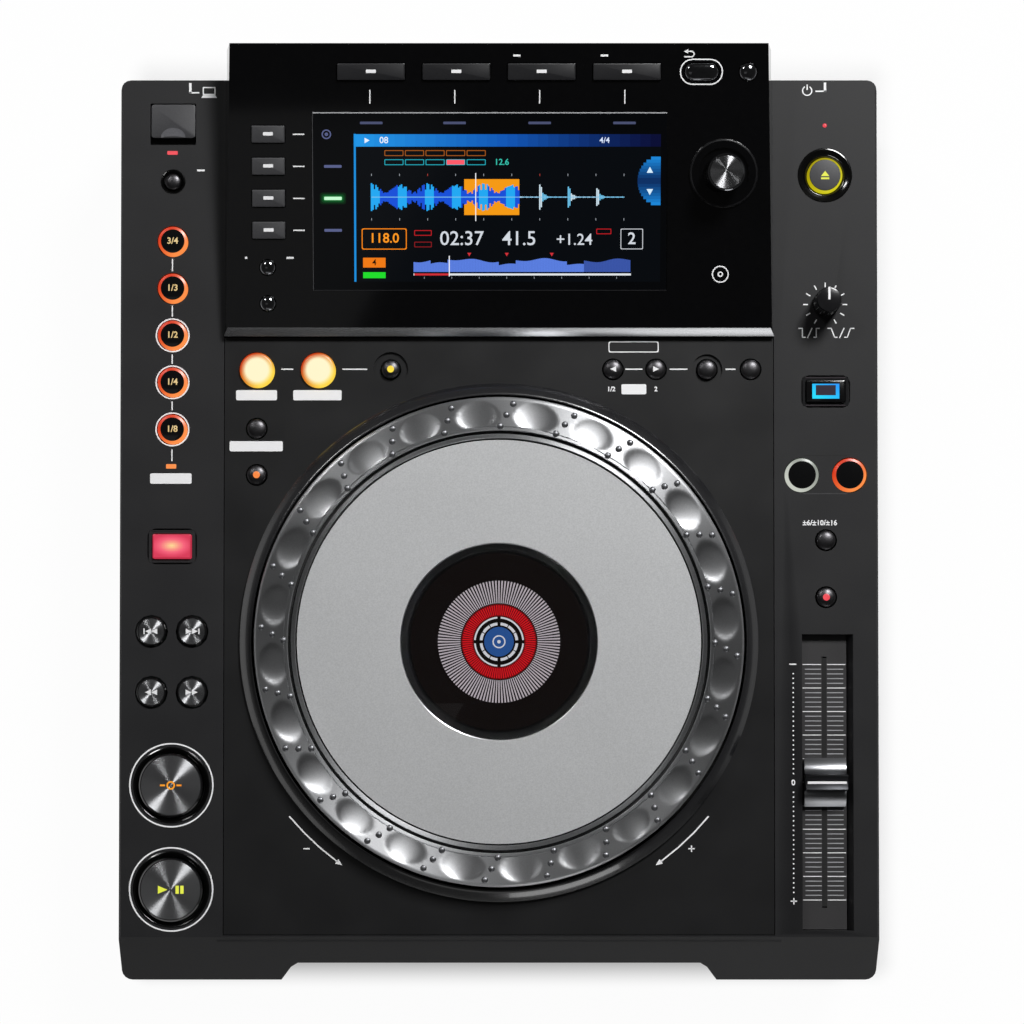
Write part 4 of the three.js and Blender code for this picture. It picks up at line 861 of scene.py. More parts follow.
def repeated(shape: Shape, name: str, finish: Finish, count: int, radius: float = 0.0, start: float = 0.0,
             step: float = 0.0, centre: Point = (0, 0, 0), pitch: Point = (0, 0, 0),
             tilt: float = 0.0) -> Object:
    """Repeats a shape round an arc or along a line.

    Args:
        shape: Template round the origin, its +X pointing outwards on an arc.
        name: Name of the piece.
        finish: Its finish.
        count: How many.
        radius: Radius of the arc in millimetres.
        start: Angle of the first in degrees.
        step: Angle between two in degrees.
        centre: Middle of the arc or the line's first point.
        pitch: Step of a line in millimetres.
        tilt: Turn of the whole round X in radians.

    Returns:
        The finished object.
    """
    return run_tree(shape.build(name, [finish]), repeat_tree(), {
        "Count": count, "Start": math.radians(start), "Step": math.radians(step), "Radius": radius * MM,
        "Centre": Vector(centre) * MM, "Pitch": Vector(pitch) * MM, "Tilt": Vector((tilt, 0, 0)),
        "Material": paint(finish)})


def dimple_tree() -> NodeTree:
    """Builds the tree that presses oval dimples into the top of the jog ring.

    Returns:
        The tree: each point's height follows its place in the nearest oval.
    """
    tree, given = geometry_tree("press_dimples", {
        "Ring": "Geometry", "Centre": "Vector", "Pitch": "Float", "Start": "Float", "Circle": "Float",
        "Half Width": "Float", "Half Length": "Float", "Depth": "Float", "Floor": "Float", "Material": "Material"})
    place = add_node(tree, "GeometryNodeInputPosition")
    own = add_node(tree, "ShaderNodeVectorMath", {"operation": "SUBTRACT"}, {0: place, 1: given["Centre"]})
    known = {socket.name: socket for socket in given}
    known.update(zip("xyz", add_node(tree, "ShaderNodeSeparateXYZ", links={0: own}).outputs))
    rule = (("xx", "MULTIPLY", "x", "x"), ("yy", "MULTIPLY", "y", "y"), ("reach", "ADD", "xx", "yy"),
            ("radius", "SQRT", "reach"), ("turn", "ARCTAN2", "y", "x"), ("angle", "SUBTRACT", "turn", "Start"),
            ("turns", "DIVIDE", "angle", "Pitch"), ("whole", "ROUND", "turns"),
            ("part", "SUBTRACT", "turns", "whole"), ("bow", "MULTIPLY", "part", "Pitch"),
            ("length", "MULTIPLY", "bow", "radius"), ("along", "DIVIDE", "length", "Half Length"),
            ("off", "SUBTRACT", "radius", "Circle"), ("across", "DIVIDE", "off", "Half Width"),
            ("long", "MULTIPLY", "along", "along"), ("wide", "MULTIPLY", "across", "across"),
            ("square", "ADD", "long", "wide"), ("left", "SUBTRACT", 1.0, "square"), ("inside", "MAXIMUM", "left", 0.0),
            ("bowl", "POWER", "inside", 0.7), ("top", "GREATER_THAN", "z", "Floor"),
            ("deep", "MULTIPLY", "bowl", "Depth"), ("drop", "MULTIPLY", "deep", "top"),
            ("down", "MULTIPLY", "drop", -1.0))
    for name, operation, *terms in rule:
        numbers = {i: term for i, term in enumerate(terms) if not isinstance(term, str)}
        sockets = {i: known[term] for i, term in enumerate(terms) if isinstance(term, str)}
        known[name] = add_node(tree, "ShaderNodeMath", {"operation": operation, **numbers}, sockets)
    shift = add_node(tree, "ShaderNodeCombineXYZ", links={"Z": known["down"]})
    pressed = add_node(tree, "GeometryNodeSetPosition", links={
        "Geometry": given["Ring"], "Offset": shift})
    real = add_node(tree, "GeometryNodeRealizeInstances", links={"Geometry": pressed})
    dressed = add_node(tree, "GeometryNodeSetMaterial", links={
        "Geometry": real, "Material": given["Material"]})
    add_node(tree, "NodeGroupOutput", links={0: dressed})
    return tree


# The case.


@dataclass
class Case:
    """Top case, chassis, rear panel and the parts inside."""

    edge: float = 0.35
    foot_height: float = 6.0
    plain: ClassVar[dict[str, Finish]] = {
        "rear_panel": CHASSIS_COAT, "mains_inlet": SHADOW_BLACK, "jog_hub": SHADOW_BLACK, "disc_drive": ZINC,
        "control_board": BOARD_GREEN, "selector_shaft": ZINC, "power_button": KEY_DARK_AND_EDGE_HIGHLIGHT,
        "screen_module": SHADOW_BLACK, "tempo_fader": PLATE_GREY}

    def build(self) -> None:
        """Builds the top case and the chassis and dresses what stays."""
        shell = solid_copy("top_case", "top_case_shell", [CASE_PAINT])
        bore_holes(shell, "top_case")
        soften(shell, self.edge)
        fit(shell, "base", "case_plastic", "top_case")
        self.build_chassis()
        self.build_bezels()
        self.dress()

    def build_chassis(self) -> None:
        """Builds the chassis with rubber feet."""
        base = solid_copy("bottom_chassis", "bottom_chassis_pan", [CHASSIS_COAT, FOOT_RUBBER])
        soften(base, 0.3)
        for face in base.data.polygons:
            if face.center.z < (self.foot_height - 0.1) * MM:
                face.material_index = 1
        fit(base, "base", "chassis_paint", "bottom_chassis")

    def build_bezels(self) -> None:
        """Lays gloss bezels into the round recesses of the large buttons."""
        bezels = Shape()
        for y in (PLAN.cue_y, PLAN.play_y):
            bezels.lathe([(13.3, -1.18), (15.25, -1.18), (15.25, -0.1), (14.9, 0.02), (14.5, -0.1), (13.3, -1.0)],
                         PLAN.on_deck(-PLAN.column, y), sides=96, closed=True)
        bezels.lathe([(7.5, -1.18), (10.85, -1.18), (10.85, -0.05), (10.5, 0.02), (10.1, -0.25), (8.6, -0.75),
                      (8.2, -0.5), (7.8, -0.6), (7.5, -0.9)], PLAN.on_deck(PLAN.column, 137.81), sides=80, closed=True)
        bezels.lathe([(3.7, -1.18), (4.85, -1.18), (4.85, -0.05), (4.6, 0.0), (3.7, -0.9)],
                     PLAN.on_deck(-PLAN.column, 135.22), sides=56, closed=True)
        fit(bezels.build("button_bezels", [BEZEL_BLACK]), "base", "case_plastic")

    def dress(self) -> None:
        """Gives the CAD nodes that stay their finishes."""
        for node, finish in self.plain.items():
            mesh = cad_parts[node].data
            mesh.materials.clear()
            mesh.materials.append(paint(finish))
            log.info("%s: %s", node, finish.name)


@dataclass
class CentrePanel:
    """Plate between the side strips with the raised rim round the jog wheel."""

    rim_outer: float = 104.05
    rim_inner: float = 99.2
    slope_low: float = 1.7
    slope_width: float = 4.1
    slope_rise: float = 3.1

    def build(self) -> None:
        """Builds the plate from the CAD shape with a fine turned rim."""
        plate = solid_copy("centre_panel", "centre_panel_plate", [PANEL_PLASTIC])
        bore, edge = Shape(), self.rim_outer - 0.2
        bore.lathe([(0, -6), (edge, -6), (edge, 9), (0, 9)], PLAN.jog(), sides=192)
        trim(plate, bore)
        bore_holes(plate, "centre_panel")
        soften(plate, 0.2)
        fit(plate, "base", "panel_plastic", "centre_panel")
        outer, inner, rim = self.rim_outer, self.rim_inner, Shape()
        slope = [(outer - self.slope_width * t, self.slope_low + self.slope_rise * (1.25 * t - 0.25 * t ** 2))
                 for t in (i / 8 for i in range(9))]
        rim.lathe([(inner, -2.5), (outer, -2.5), (outer, 0.02), *slope, (inner + 0.4, 4.9), (inner, 4.9)],
                  PLAN.jog(), sides=192, closed=True)
        fit(rim.build("jog_rim", [RIM_PLASTIC], 40), "base", "panel_plastic")


# The jog wheel.


@dataclass
class JogWheel:
    """Dimpled ring, flat plate with its trim ring, clear window and the display under it."""

    dimples: int = 24
    start: float = 5.62
    circle: float = 90.45
    half_width: float = 5.6
    half_length: float = 8.25
    depth: float = 0.75
    outer: float = 97.7
    inner: float = 84.3
    top: float = 12.0
    bump_rows: ClassVar[tuple] = ((-4.5, 1.55), (0.0, 0.0), (4.5, -1.55))
    plate_edge: float = 83.0
    plate_top: float = 10.2
    trim_width: float = 1.9
    window: float = 38.9
    display: float = 35.4
    display_top: float = 7.06

    def build(self) -> None:
        """Builds all pieces of the wheel."""
        self.build_ring()
        self.build_bumps()
        self.build_plate()
        self.build_window()
        self.build_display()

    def build_ring(self) -> None:
        """Turns the ring finely and presses the dimples with geometry nodes."""
        shape, o, i = Shape(), self.outer, self.inner
        flats = [i + 1.6 + (o - i - 2.8) * step / 22 for step in range(23)]
        shape.lathe([(i, 8.5), (i, 11.6), (i + 0.2, 11.9), (i + 1.15, 11.9), (i + 1.25, 11.5), (i + 1.5, 11.5),
                     *[(r, self.top) for r in flats], (o - 0.8, 11.88), (o - 0.35, 11.55), (o, 10.6), (o, -1.5),
                     (o - 2.5, -1.5), (o - 2.5, 8.5)], PLAN.jog(), sides=480, closed=True)
        ring = run_tree(shape.build("jog_ring_skin", [RING_PAINT]), dimple_tree(), {
            "Centre": Vector((0, PLAN.jog_y, PLAN.deck)) * MM, "Pitch": TURN / self.dimples,
            "Start": math.radians(90 + self.start), "Circle": self.circle * MM,
            "Half Width": self.half_width * MM, "Half Length": self.half_length * MM,
            "Depth": self.depth * MM, "Floor": (self.top - 0.05) * MM, "Material": paint(RING_PAINT)})
        fit(ring, "jog_wheel", "ring_finish", "jog_ring")

    def build_bumps(self) -> None:
        """Sets three small domes between each two dimples."""
        for number, (offset, slant) in enumerate(self.bump_rows):
            dome = Shape()
            dome.lathe([(1.35, -0.2), (1.3, 0.1), (0.95, 0.42), (0.5, 0.57), (0, 0.6)], Matrix(), sides=16)
            row = repeated(dome, f"jog_bumps_{number + 1}", BUMP_PAINT, self.dimples, self.circle + offset,
                           90 + self.start + 180 / self.dimples + slant, 360 / self.dimples,
                           (0, PLAN.jog_y, PLAN.deck + self.top))
            fit(row, "jog_wheel", "ring_finish")

    def build_plate(self) -> None:
        """Turns the plate and its bright trim ring."""
        plate, hole, top, edge = Shape(), self.window, self.plate_top, self.plate_edge
        lip = edge - self.trim_width
        plate.lathe([(hole + 0.25, 8.0), (hole + 0.25, top - 0.15), (hole + 0.55, top), (hole + 0.8, top),
                     (lip - 0.55, top), (lip - 0.55, 9.2), (lip, 9.2), (lip, 8.0)],
                    PLAN.jog(), (0, 1, 0, 0, 2, 2, 0, 0), 192, True)
        plate.lathe([(lip + 0.15, 8.3), (lip + 0.15, top + 0.45), (lip + 0.3, top + 0.6), (edge - 0.3, top + 0.6),
                     (edge, top + 0.3), (edge, top - 0.4), (edge, 8.3)], PLAN.jog(), (1,), 192, True)
        plate.lathe([(44, 6.2), (95.5, 6.2), (95.5, 8.2), (41, 8.2), (36.5, 8.1), (36.5, 6.2)], PLAN.jog(), (2,),
                    128, True)
        plate.lathe([(44, -12), (47, -12), (47, 6.3), (44, 6.3)], PLAN.jog(), (2,), 96, True)
        fit(plate.build("jog_plate_disc", [PLATE_METAL, TRIM_METAL, SHADOW_BLACK]), "jog_wheel",
            "plate_aluminium", "jog_plate")

    def build_window(self) -> None:
        """Turns the clear window."""
        window, r, top = Shape(), self.window, self.plate_top
        window.lathe([(0, 8.2), (r, 8.2), (r, top - 0.3), (r - 0.3, top), (0, top)], PLAN.jog(), sides=128)
        fit(window.build("jog_window_lens", [CLEAR_ACRYLIC]), "jog_wheel", "window_clear", "jog_window")

    def build_display(self) -> None:
        """Lays out the round display under the window."""
        face, r, on_top = Shape(), self.display, PLAN.jog(self.display_top)
        pale, red = "#d2d2d6", "#7c0c12"
        face.lathe([(0, 7.0), (r, 7.0), (r, 7.04), (0, 7.04)], PLAN.jog(), sides=128, tint="#0b0605")
        for i in range(4):
            face.arc(9.95, 9.3, 90 * i + 4, 90 * i + 86, on_top, pale)
        for i in range(12):
            face.arc(7.7, 6.6, 30 * i + (5 if i % 3 == 0 else 1.5), 30 * i + (25 if i % 3 == 2 else 28.5), on_top,
                     "#cfcfd4")
        face.ring(10.5, 10.2, on_top, tint=red)
        face.ring(15.0, 14.75, on_top, tint=red)
        face.lathe([(0, 0), (5.9, 0), (5.9, 0.05), (0, 0.05)], on_top, sides=64, tint="#27508f")
        face.ring(2.6, 2.1, shifted(on_top, z=0.05), tint=pale)
        face.lathe([(0, 0.05), (0.7, 0.05), (0.7, 0.1), (0, 0.1)], on_top, sides=24, tint=pale)
        fit(face.build("centre_display_face", [SCREEN_PICTURE]), "base", "screen_glass")
        for name, count, inner, outer, share, tint in (
                ("grey", 120, 15.4, 24.4, 0.5, "#b9b0b6"), ("red", 96, 10.6, 14.6, 0.66, "#d0121c")):
            ray = Shape()
            near, far = inner * TURN / count * share / 2, outer * TURN / count * share / 2
            ray.polygon([(inner, -near), (outer, -far), (outer, far), (inner, near)], Matrix(), tint=tint)
            rays = repeated(ray, f"centre_display_{name}_rays", SCREEN_PICTURE, count, 0.0, 0.0, 360 / count,
                            (0, PLAN.jog_y, PLAN.deck + self.display_top))
            fit(rays, "base", "screen_glass")


# The screen housing.


@dataclass
class DisplayPicture:
    """Lit picture of the display: bars, blocks and plain numbers on black, added to a shape."""

    shape: Shape
    left: float = -57.9
    low: float = 18.5
    width: float = 122.4
    height: float = 58.6
    level: float = 0.02
    title: float = 56.0
    middle: float = 33.6
    numbers: float = 17.0
    pale: ClassVar[str] = "#d4dae2"

    def at(self, u: float, v: float, layer: int = 1) -> Matrix:
        """Place in the picture from its lower left corner."""
        return PLAN.on_face(self.left + u, self.low + v, self.level + 0.03 * layer)

    def block(self, width: float, height: float, u: float, v: float, tint: str, layer: int = 1) -> None:
        """Adds a plain rectangle round a place."""
        self.shape.bar(width, height, self.at(u, v, layer), 0.02, tint=tint)

    def box(self, outline: Outline, width: float, u: float, v: float, tint: str) -> None:
        """Adds an outlined box round a place."""
        self.shape.frame(outline, width, self.at(u, v), 0, 0.03, tint=tint)

    def build(self) -> None:
        """Adds the whole picture."""
        self.block(self.width, self.height, self.width / 2, self.height / 2, "#04060a", 0)
        self.add_title()
        self.add_waves()
        self.add_scroll_mark()
        self.add_numbers()
        self.add_overview()

    def add_title(self) -> None:
        """Blue title bar and side line, with a row of small marks below."""
        steps, ice = 30, "#e8f2ff"
        for i in range(steps):
            share = 2 * i / (steps - 1)
            tint = blend("#1f95e6", "#0f56b4", share) if share < 1 else blend("#0f56b4", "#070b34", share - 1)
            self.block(self.width / steps + 0.02, 4.9, (i + 0.5) * self.width / steps, self.title, tint)
        self.block(0.8, self.height, 0.4, self.height / 2, "#1a8ede")
        self.shape.polygon([(-0.9, -1.1), (1.1, 0), (-0.9, 1.1)], self.at(5.2, self.title, 2), tint=ice)
        self.shape.digits("08", 3.6, self.at(12, self.title, 2), tint=ice)
        self.shape.digits("4/4", 3.2, self.at(100, self.title, 2), tint="#d8e6ff")
        for i in range(5):
            for v, tint in ((47.4, "#23a7b8"), (51.0, "#a4571a")):
                self.box(rounded(7.6, 2.3, 0.2, 1), 0.3, 16 + 8.2 * i, v, tint)
        self.shape.bar(7.0, 1.8, self.at(16 + 8.2 * 3, 47.4, 2), tint="#ff5a6a")
        self.shape.digits("12.6", 3.4, self.at(59, 47.4), tint="#38c4b0")

    def add_waves(self) -> None:
        """Sound bars: blue on the left, over an orange block in the middle, pale peaks on the right."""
        first, beat_width, edge, grey = 7, 11.2, 66, "#9aa0a8"
        self.block(22, 14.2, 55, self.middle, "#f59a12")
        for i in range(168):
            u = first + i * 0.6
            beat = (u - first) % beat_width / beat_width
            if u < edge:
                swell = 0.35 + 0.65 * abs(math.cos(math.pi * beat)) ** 1.5
                size = 12.4 * swell * (0.74 + 0.26 * math.sin(u * 5.1) * math.sin(u * 1.7))
                tint = "#1750d8" if (i // 6) % 3 else "#22a8f2"
            else:
                size = max(0.5, 13.0 * math.exp(-9 * beat)) * (0.8 + 0.2 * math.sin(u * 3.3))
                tint = "#cfe4f0" if (i // 19) % 2 else "#6cc2ea"
            self.block(0.62 if u < edge else 0.5, size, u, self.middle, tint, 2)
        self.block(101, 0.3, 57.5, self.middle, "#7fc4ea", 3)
        self.block(0.35, 19, 48.6, self.middle, "#f4f6fa", 4)
        for i in range(10):
            self.block(0.25, 0.9, first + beat_width * i, self.middle + 8.8, "#b04038" if i % 4 == 2 else grey)
            self.block(0.25, 0.9, first + beat_width * i, self.middle - 8.8, grey)

    def add_scroll_mark(self) -> None:
        """Blue half disc at the right edge, in rows, with two small arrows."""
        centre, rows, reach = self.at(self.width, 40.0, 5), 16, 9.6
        for i in range(rows):
            v = -reach + 2 * reach * (i + 0.5) / rows
            width = 9.2 * math.sqrt(max(0.0, 1 - (v / 9.9) ** 2))
            self.shape.bar(width, 2 * reach / rows + 0.02, shifted(centre, -width / 2, v), 0.02,
                           tint=blend("#0a2a5c", "#1c8ce0", abs(v) / reach))
        for turn in (1, -1):
            self.shape.polygon([(-5.6, 3.2 * turn), (-3.0, 3.2 * turn), (-4.3, 5.6 * turn)][::turn],
                               shifted(centre, z=0.04), tint="#d8f0ff")

    def add_numbers(self) -> None:
        """Row of plain numbers with small boxes."""
        v, red = self.numbers, "#c01c24"
        self.box(rounded(18, 8.4, 0.6, 2), 0.35, 12, v, "#ff8a12")
        self.shape.digits("118.0", 5.4, self.at(12, v + 0.2), tint="#ff9a20")
        for text, size, u, drop in (("02:37", 8.0, 43, 0), ("41.5", 8.0, 66, 0), ("+1.24", 6.4, 88, 0.4)):
            self.shape.digits(text, size, self.at(u, v - drop), weight=0.004, tint=self.pale)
        self.box(rounded(9, 8.2, 0.4, 2), 0.3, 111, v, "#c8ccd2")
        self.shape.digits("2", 6.6, self.at(111, v), tint=self.pale)
        for u, rise, size, tint in ((27.5, 19.4, 7, red), (27.5, 14.8, 7, "#8c1a20"), (99.8, 20.0, 6, red)):
            self.box(rounded(size, 2.2, 0.2, 1), 0.3, u, rise, tint)

    def add_overview(self) -> None:
        """Long blue outline of the track with its progress line and two small boxes."""
        red = "#d03038"
        for i in range(140):
            u = 24 + i * 0.62
            size = 4.6 + 0.9 * math.sin(u * 0.31) * math.sin(u * 0.13 + 1) - (1.4 if (i // 11) % 4 == 1 else 0)
            self.block(0.6, size, u, 3.9 + size / 2, "#5a7ee0" if u < 92 else "#3a55a8")
        self.block(87, 0.8, 67.2, 2.9, "#e2e6ea")
        self.block(14, 0.8, 31, 2.9, red, 2)
        self.block(0.4, 8.2, 38, 6.2, "#f4f6fa", 3)
        for u in (46, 61, 79):
            self.shape.polygon([(-0.8, 0.7), (0, -0.7), (0.8, 0.7)], self.at(u, 10.8), tint=red)
        for i in range(8):
            self.block(0.25, 0.8, 28 + 11 * i, 1.6, "#8a9098")
        self.block(9, 3.9, 8, 7.6, "#f07a10")
        self.shape.digits("4", 3.4, self.at(8, 7.6, 2), tint="#2a1200")
        self.block(9, 2.4, 8, 2.6, "#1fdc2a")


@dataclass
class ScreenHousing:
    """Gloss housing with its window, lit picture, printed marks and selector collar."""

    cover_x: float = -3.7
    cover_s: float = 50.24
    cover_width: float = 141.3
    cover_length: float = 70.3
    selector_x: float = 89.65
    selector_s: float = 61.53
    collar_outer: float = 13.6
    collar_inner: float = 10.15
    strip: ClassVar[tuple] = (72.34, 75.45, 74.0, 79.6)
    strip_half: float = 110.6

    def build(self) -> None:
        """Builds the housing and everything that is fixed to its face."""
        shell = solid_copy("screen_housing", "screen_housing_shell", [GLOSS_BLACK])
        soften(shell, 0.35)
        fit(shell, "base", "housing_gloss", "screen_housing")
        self.build_strip()
        self.build_cover()
        self.build_edge_highlights()
        self.build_collar()
        self.build_print()

    def build_strip(self) -> None:
        """Fits the satin strip along the front edge, its ends cut back where it rises."""
        front, rear, low, high = self.strip
        strip, half = Shape(), self.strip_half
        section = [(front, low, 0.0), (front, high - 2.75, 0.0), (front + 0.12, high - 2.62, 0.0),
                   (rear - 0.1, high - 0.06, 1.6), (rear, high, 1.7), (rear, low, 1.7)]
        strip.loft([[(-half + inset, y, z) for y, z, inset in section],
                    [(half - inset, y, z) for y, z, inset in section]], Matrix())
        fit(strip.build("housing_front_strip", [STRIP_METAL]), "base", "housing_gloss")

    def build_cover(self) -> None:
        """Lays the cover, the picture and the lit marks on the face."""
        sheet, dim = Shape(), "#59608a"
        sheet.slab(rounded(self.cover_width, self.cover_length, 0.6, 3), ((0, -1.5), (0, -0.1), (0.1, 0.0)),
                   PLAN.on_face(self.cover_x, self.cover_s), (0,), "#020203")
        DisplayPicture(sheet).build()
        for row in range(4):
            s = PLAN.source_row + PLAN.source_pitch * row
            if row == 1:
                for grow, halo in ((3.4, "#04220b"), (2.2, "#07401a"), (1.1, "#0b6a2a")):
                    sheet.bar(7 + grow, 1.2 + grow, PLAN.on_face(-66.3, s, 0.04 - grow * 0.008), 0.01, 1.0, tint=halo)
                sheet.bar(7, 1.3, PLAN.on_face(-66.3, s, 0.08), 0.02, 0.3, tint="#c8ffd4")
            elif row == 3:
                sheet.ring(1.9, 1.4, PLAN.on_face(-68.8, s, 0.04), 0.02, tint=dim)
                sheet.ring(0.7, 0.1, PLAN.on_face(-68.8, s, 0.04), 0.02, tint=dim)
            else:
                sheet.bar(7, 1.1, PLAN.on_face(-66.3, s, 0.04), 0.02, 0.3, tint=dim)
        for x in (-50.9, -17.7, 16.2, 50.0):
            sheet.bar(9, 1.0, PLAN.on_face(x, 81.4, 0.04), 0.02, 0.3, tint="#4a5070")
        fit(sheet.build("display_picture", [SCREEN_PICTURE]), "base", "screen_glass")

    def build_edge_highlights(self) -> None:
        """Lays painted highlights along the cover's edges: pale at its rear edge, grey at its left edge, dim at its
        front edge.
        """
        edges, x, w, l = Shape(), self.cover_x, self.cover_width, self.cover_length
        top = self.cover_s + l / 2
        edges.bar(w, 0.45, PLAN.on_face(x, top, 0.02))
        edges.bar(0.3, l, PLAN.on_face(x - w / 2, self.cover_s, 0.02), slot=1)
        edges.bar(w, 0.3, PLAN.on_face(x, top - l, 0.02), slot=2)
        fit(edges.build("display_edge_highlights", [GREY_INK_AND_EDGE_HIGHLIGHT, KEY_GREY_AND_EDGE_HIGHLIGHT, KEY_DARK_AND_EDGE_HIGHLIGHT]), "base", "housing_gloss")

    def build_collar(self) -> None:
        """Turns the collar round the selector."""
        collar, o, i = Shape(), self.collar_outer, self.collar_inner
        collar.lathe([(i - 0.02, 0.1), (o + 0.05, 0.02), (o + 0.02, 1.05), (o - 0.3, 1.24), (i + 0.35, 1.0),
                      (i - 0.02, 0.75)], PLAN.on_face(self.selector_x, self.selector_s), sides=96, closed=True)
        fit(collar.build("selector_collar", [CAP_BLACK], 50), "base", "housing_gloss")

    def build_print(self) -> None:
        """Prints the ticks and marks of the display face."""
        ink, face = Shape(), PLAN.on_face
        for row in range(4):
            ink.bar(4.6, 0.5, face(-79.9, PLAN.source_row + PLAN.source_pitch * row))
        for x in (-51.4, -17.6, 16.2, 50.1):
            ink.bar(0.45, 5.4, face(x, 91.7))
        for x in (7.1, 41.9):
            ink.bar(2.9, 0.8, face(x, 107.9))
        ink.frame(rounded(17.2, 10.3, 5.1, 8, 1.0), 0.5, face(80.5, 101.5))
        arrow = face(75.6, 108.5)
        ink.line([(-1.9, -1.1), (1.3, -1.1), (1.9, -0.4), (1.9, 0.4), (1.3, 1.0), (-0.6, 1.0)], 0.5, arrow)
        ink.polygon([(-2.1, 1.0), (-0.4, 0.1), (-0.4, 1.9)], arrow)
        ink.lathe([(0.001, -0.02), (0.5, -0.02), (0.5, 0.04), (0.001, 0.04)], face(-101.2, 28.0), sides=16)
        ink.bar(2.9, 0.8, face(-83.6, 28.0))
        for outer, inner in ((3.4, 2.9), (1.1, 0.6)):
            ink.ring(outer, inner, face(88.6, 21.5))
        fit(ink.build("display_face_print", [WHITE_INK]), "base", "housing_gloss")


# Buttons, knobs and slider.


FACE_ROWS: dict[str, float] = {
    **{f"function_button_{i + 1}": 0.8997 * PLAN.face_length for i in range(4)},
    **{f"source_button_{i + 1}": 0.3452 * PLAN.face_length + PLAN.source_pitch * (3 - i) for i in range(4)},
    "time_mode_button": 0.2143 * PLAN.face_length,
    "quantize_button": 0.0868 * PLAN.face_length,
    "back_button": 0.8997 * PLAN.face_length,
    "tag_button": 0.8997 * PLAN.face_length,
    "selector_knob": 0.5456 * PLAN.face_length,
}


def node_place(node: str) -> Matrix:
    """Finds the place of a control's foot on the deck or on the sloping face.

    Args:
        node: The control's CAD node.

    Returns:
        The place.
    """
    middle = sum(node_box(node), Vector()) / 2
    if node in FACE_ROWS:
        return PLAN.on_face(middle.x, FACE_ROWS[node])
    return PLAN.on_deck(middle.x, middle.y)


class Cap(Enum):
    """Kinds of round button."""

    DOME = "dome"
    RINGED = "ringed"
    DISC = "disc"
    SPUN = "spun"


@dataclass(frozen=True)
class Glow:
    """Colours of a lit ring or disc: one side, the other side, the middle."""

    first: str
    second: str
    middle: str = "#fff4c4"
    direction: float = -45.0
    band: float = 1.1

    def rim(self) -> Tint:
        """Tint of the lit rim."""
        return turned_tint(self.first, self.second, self.direction)


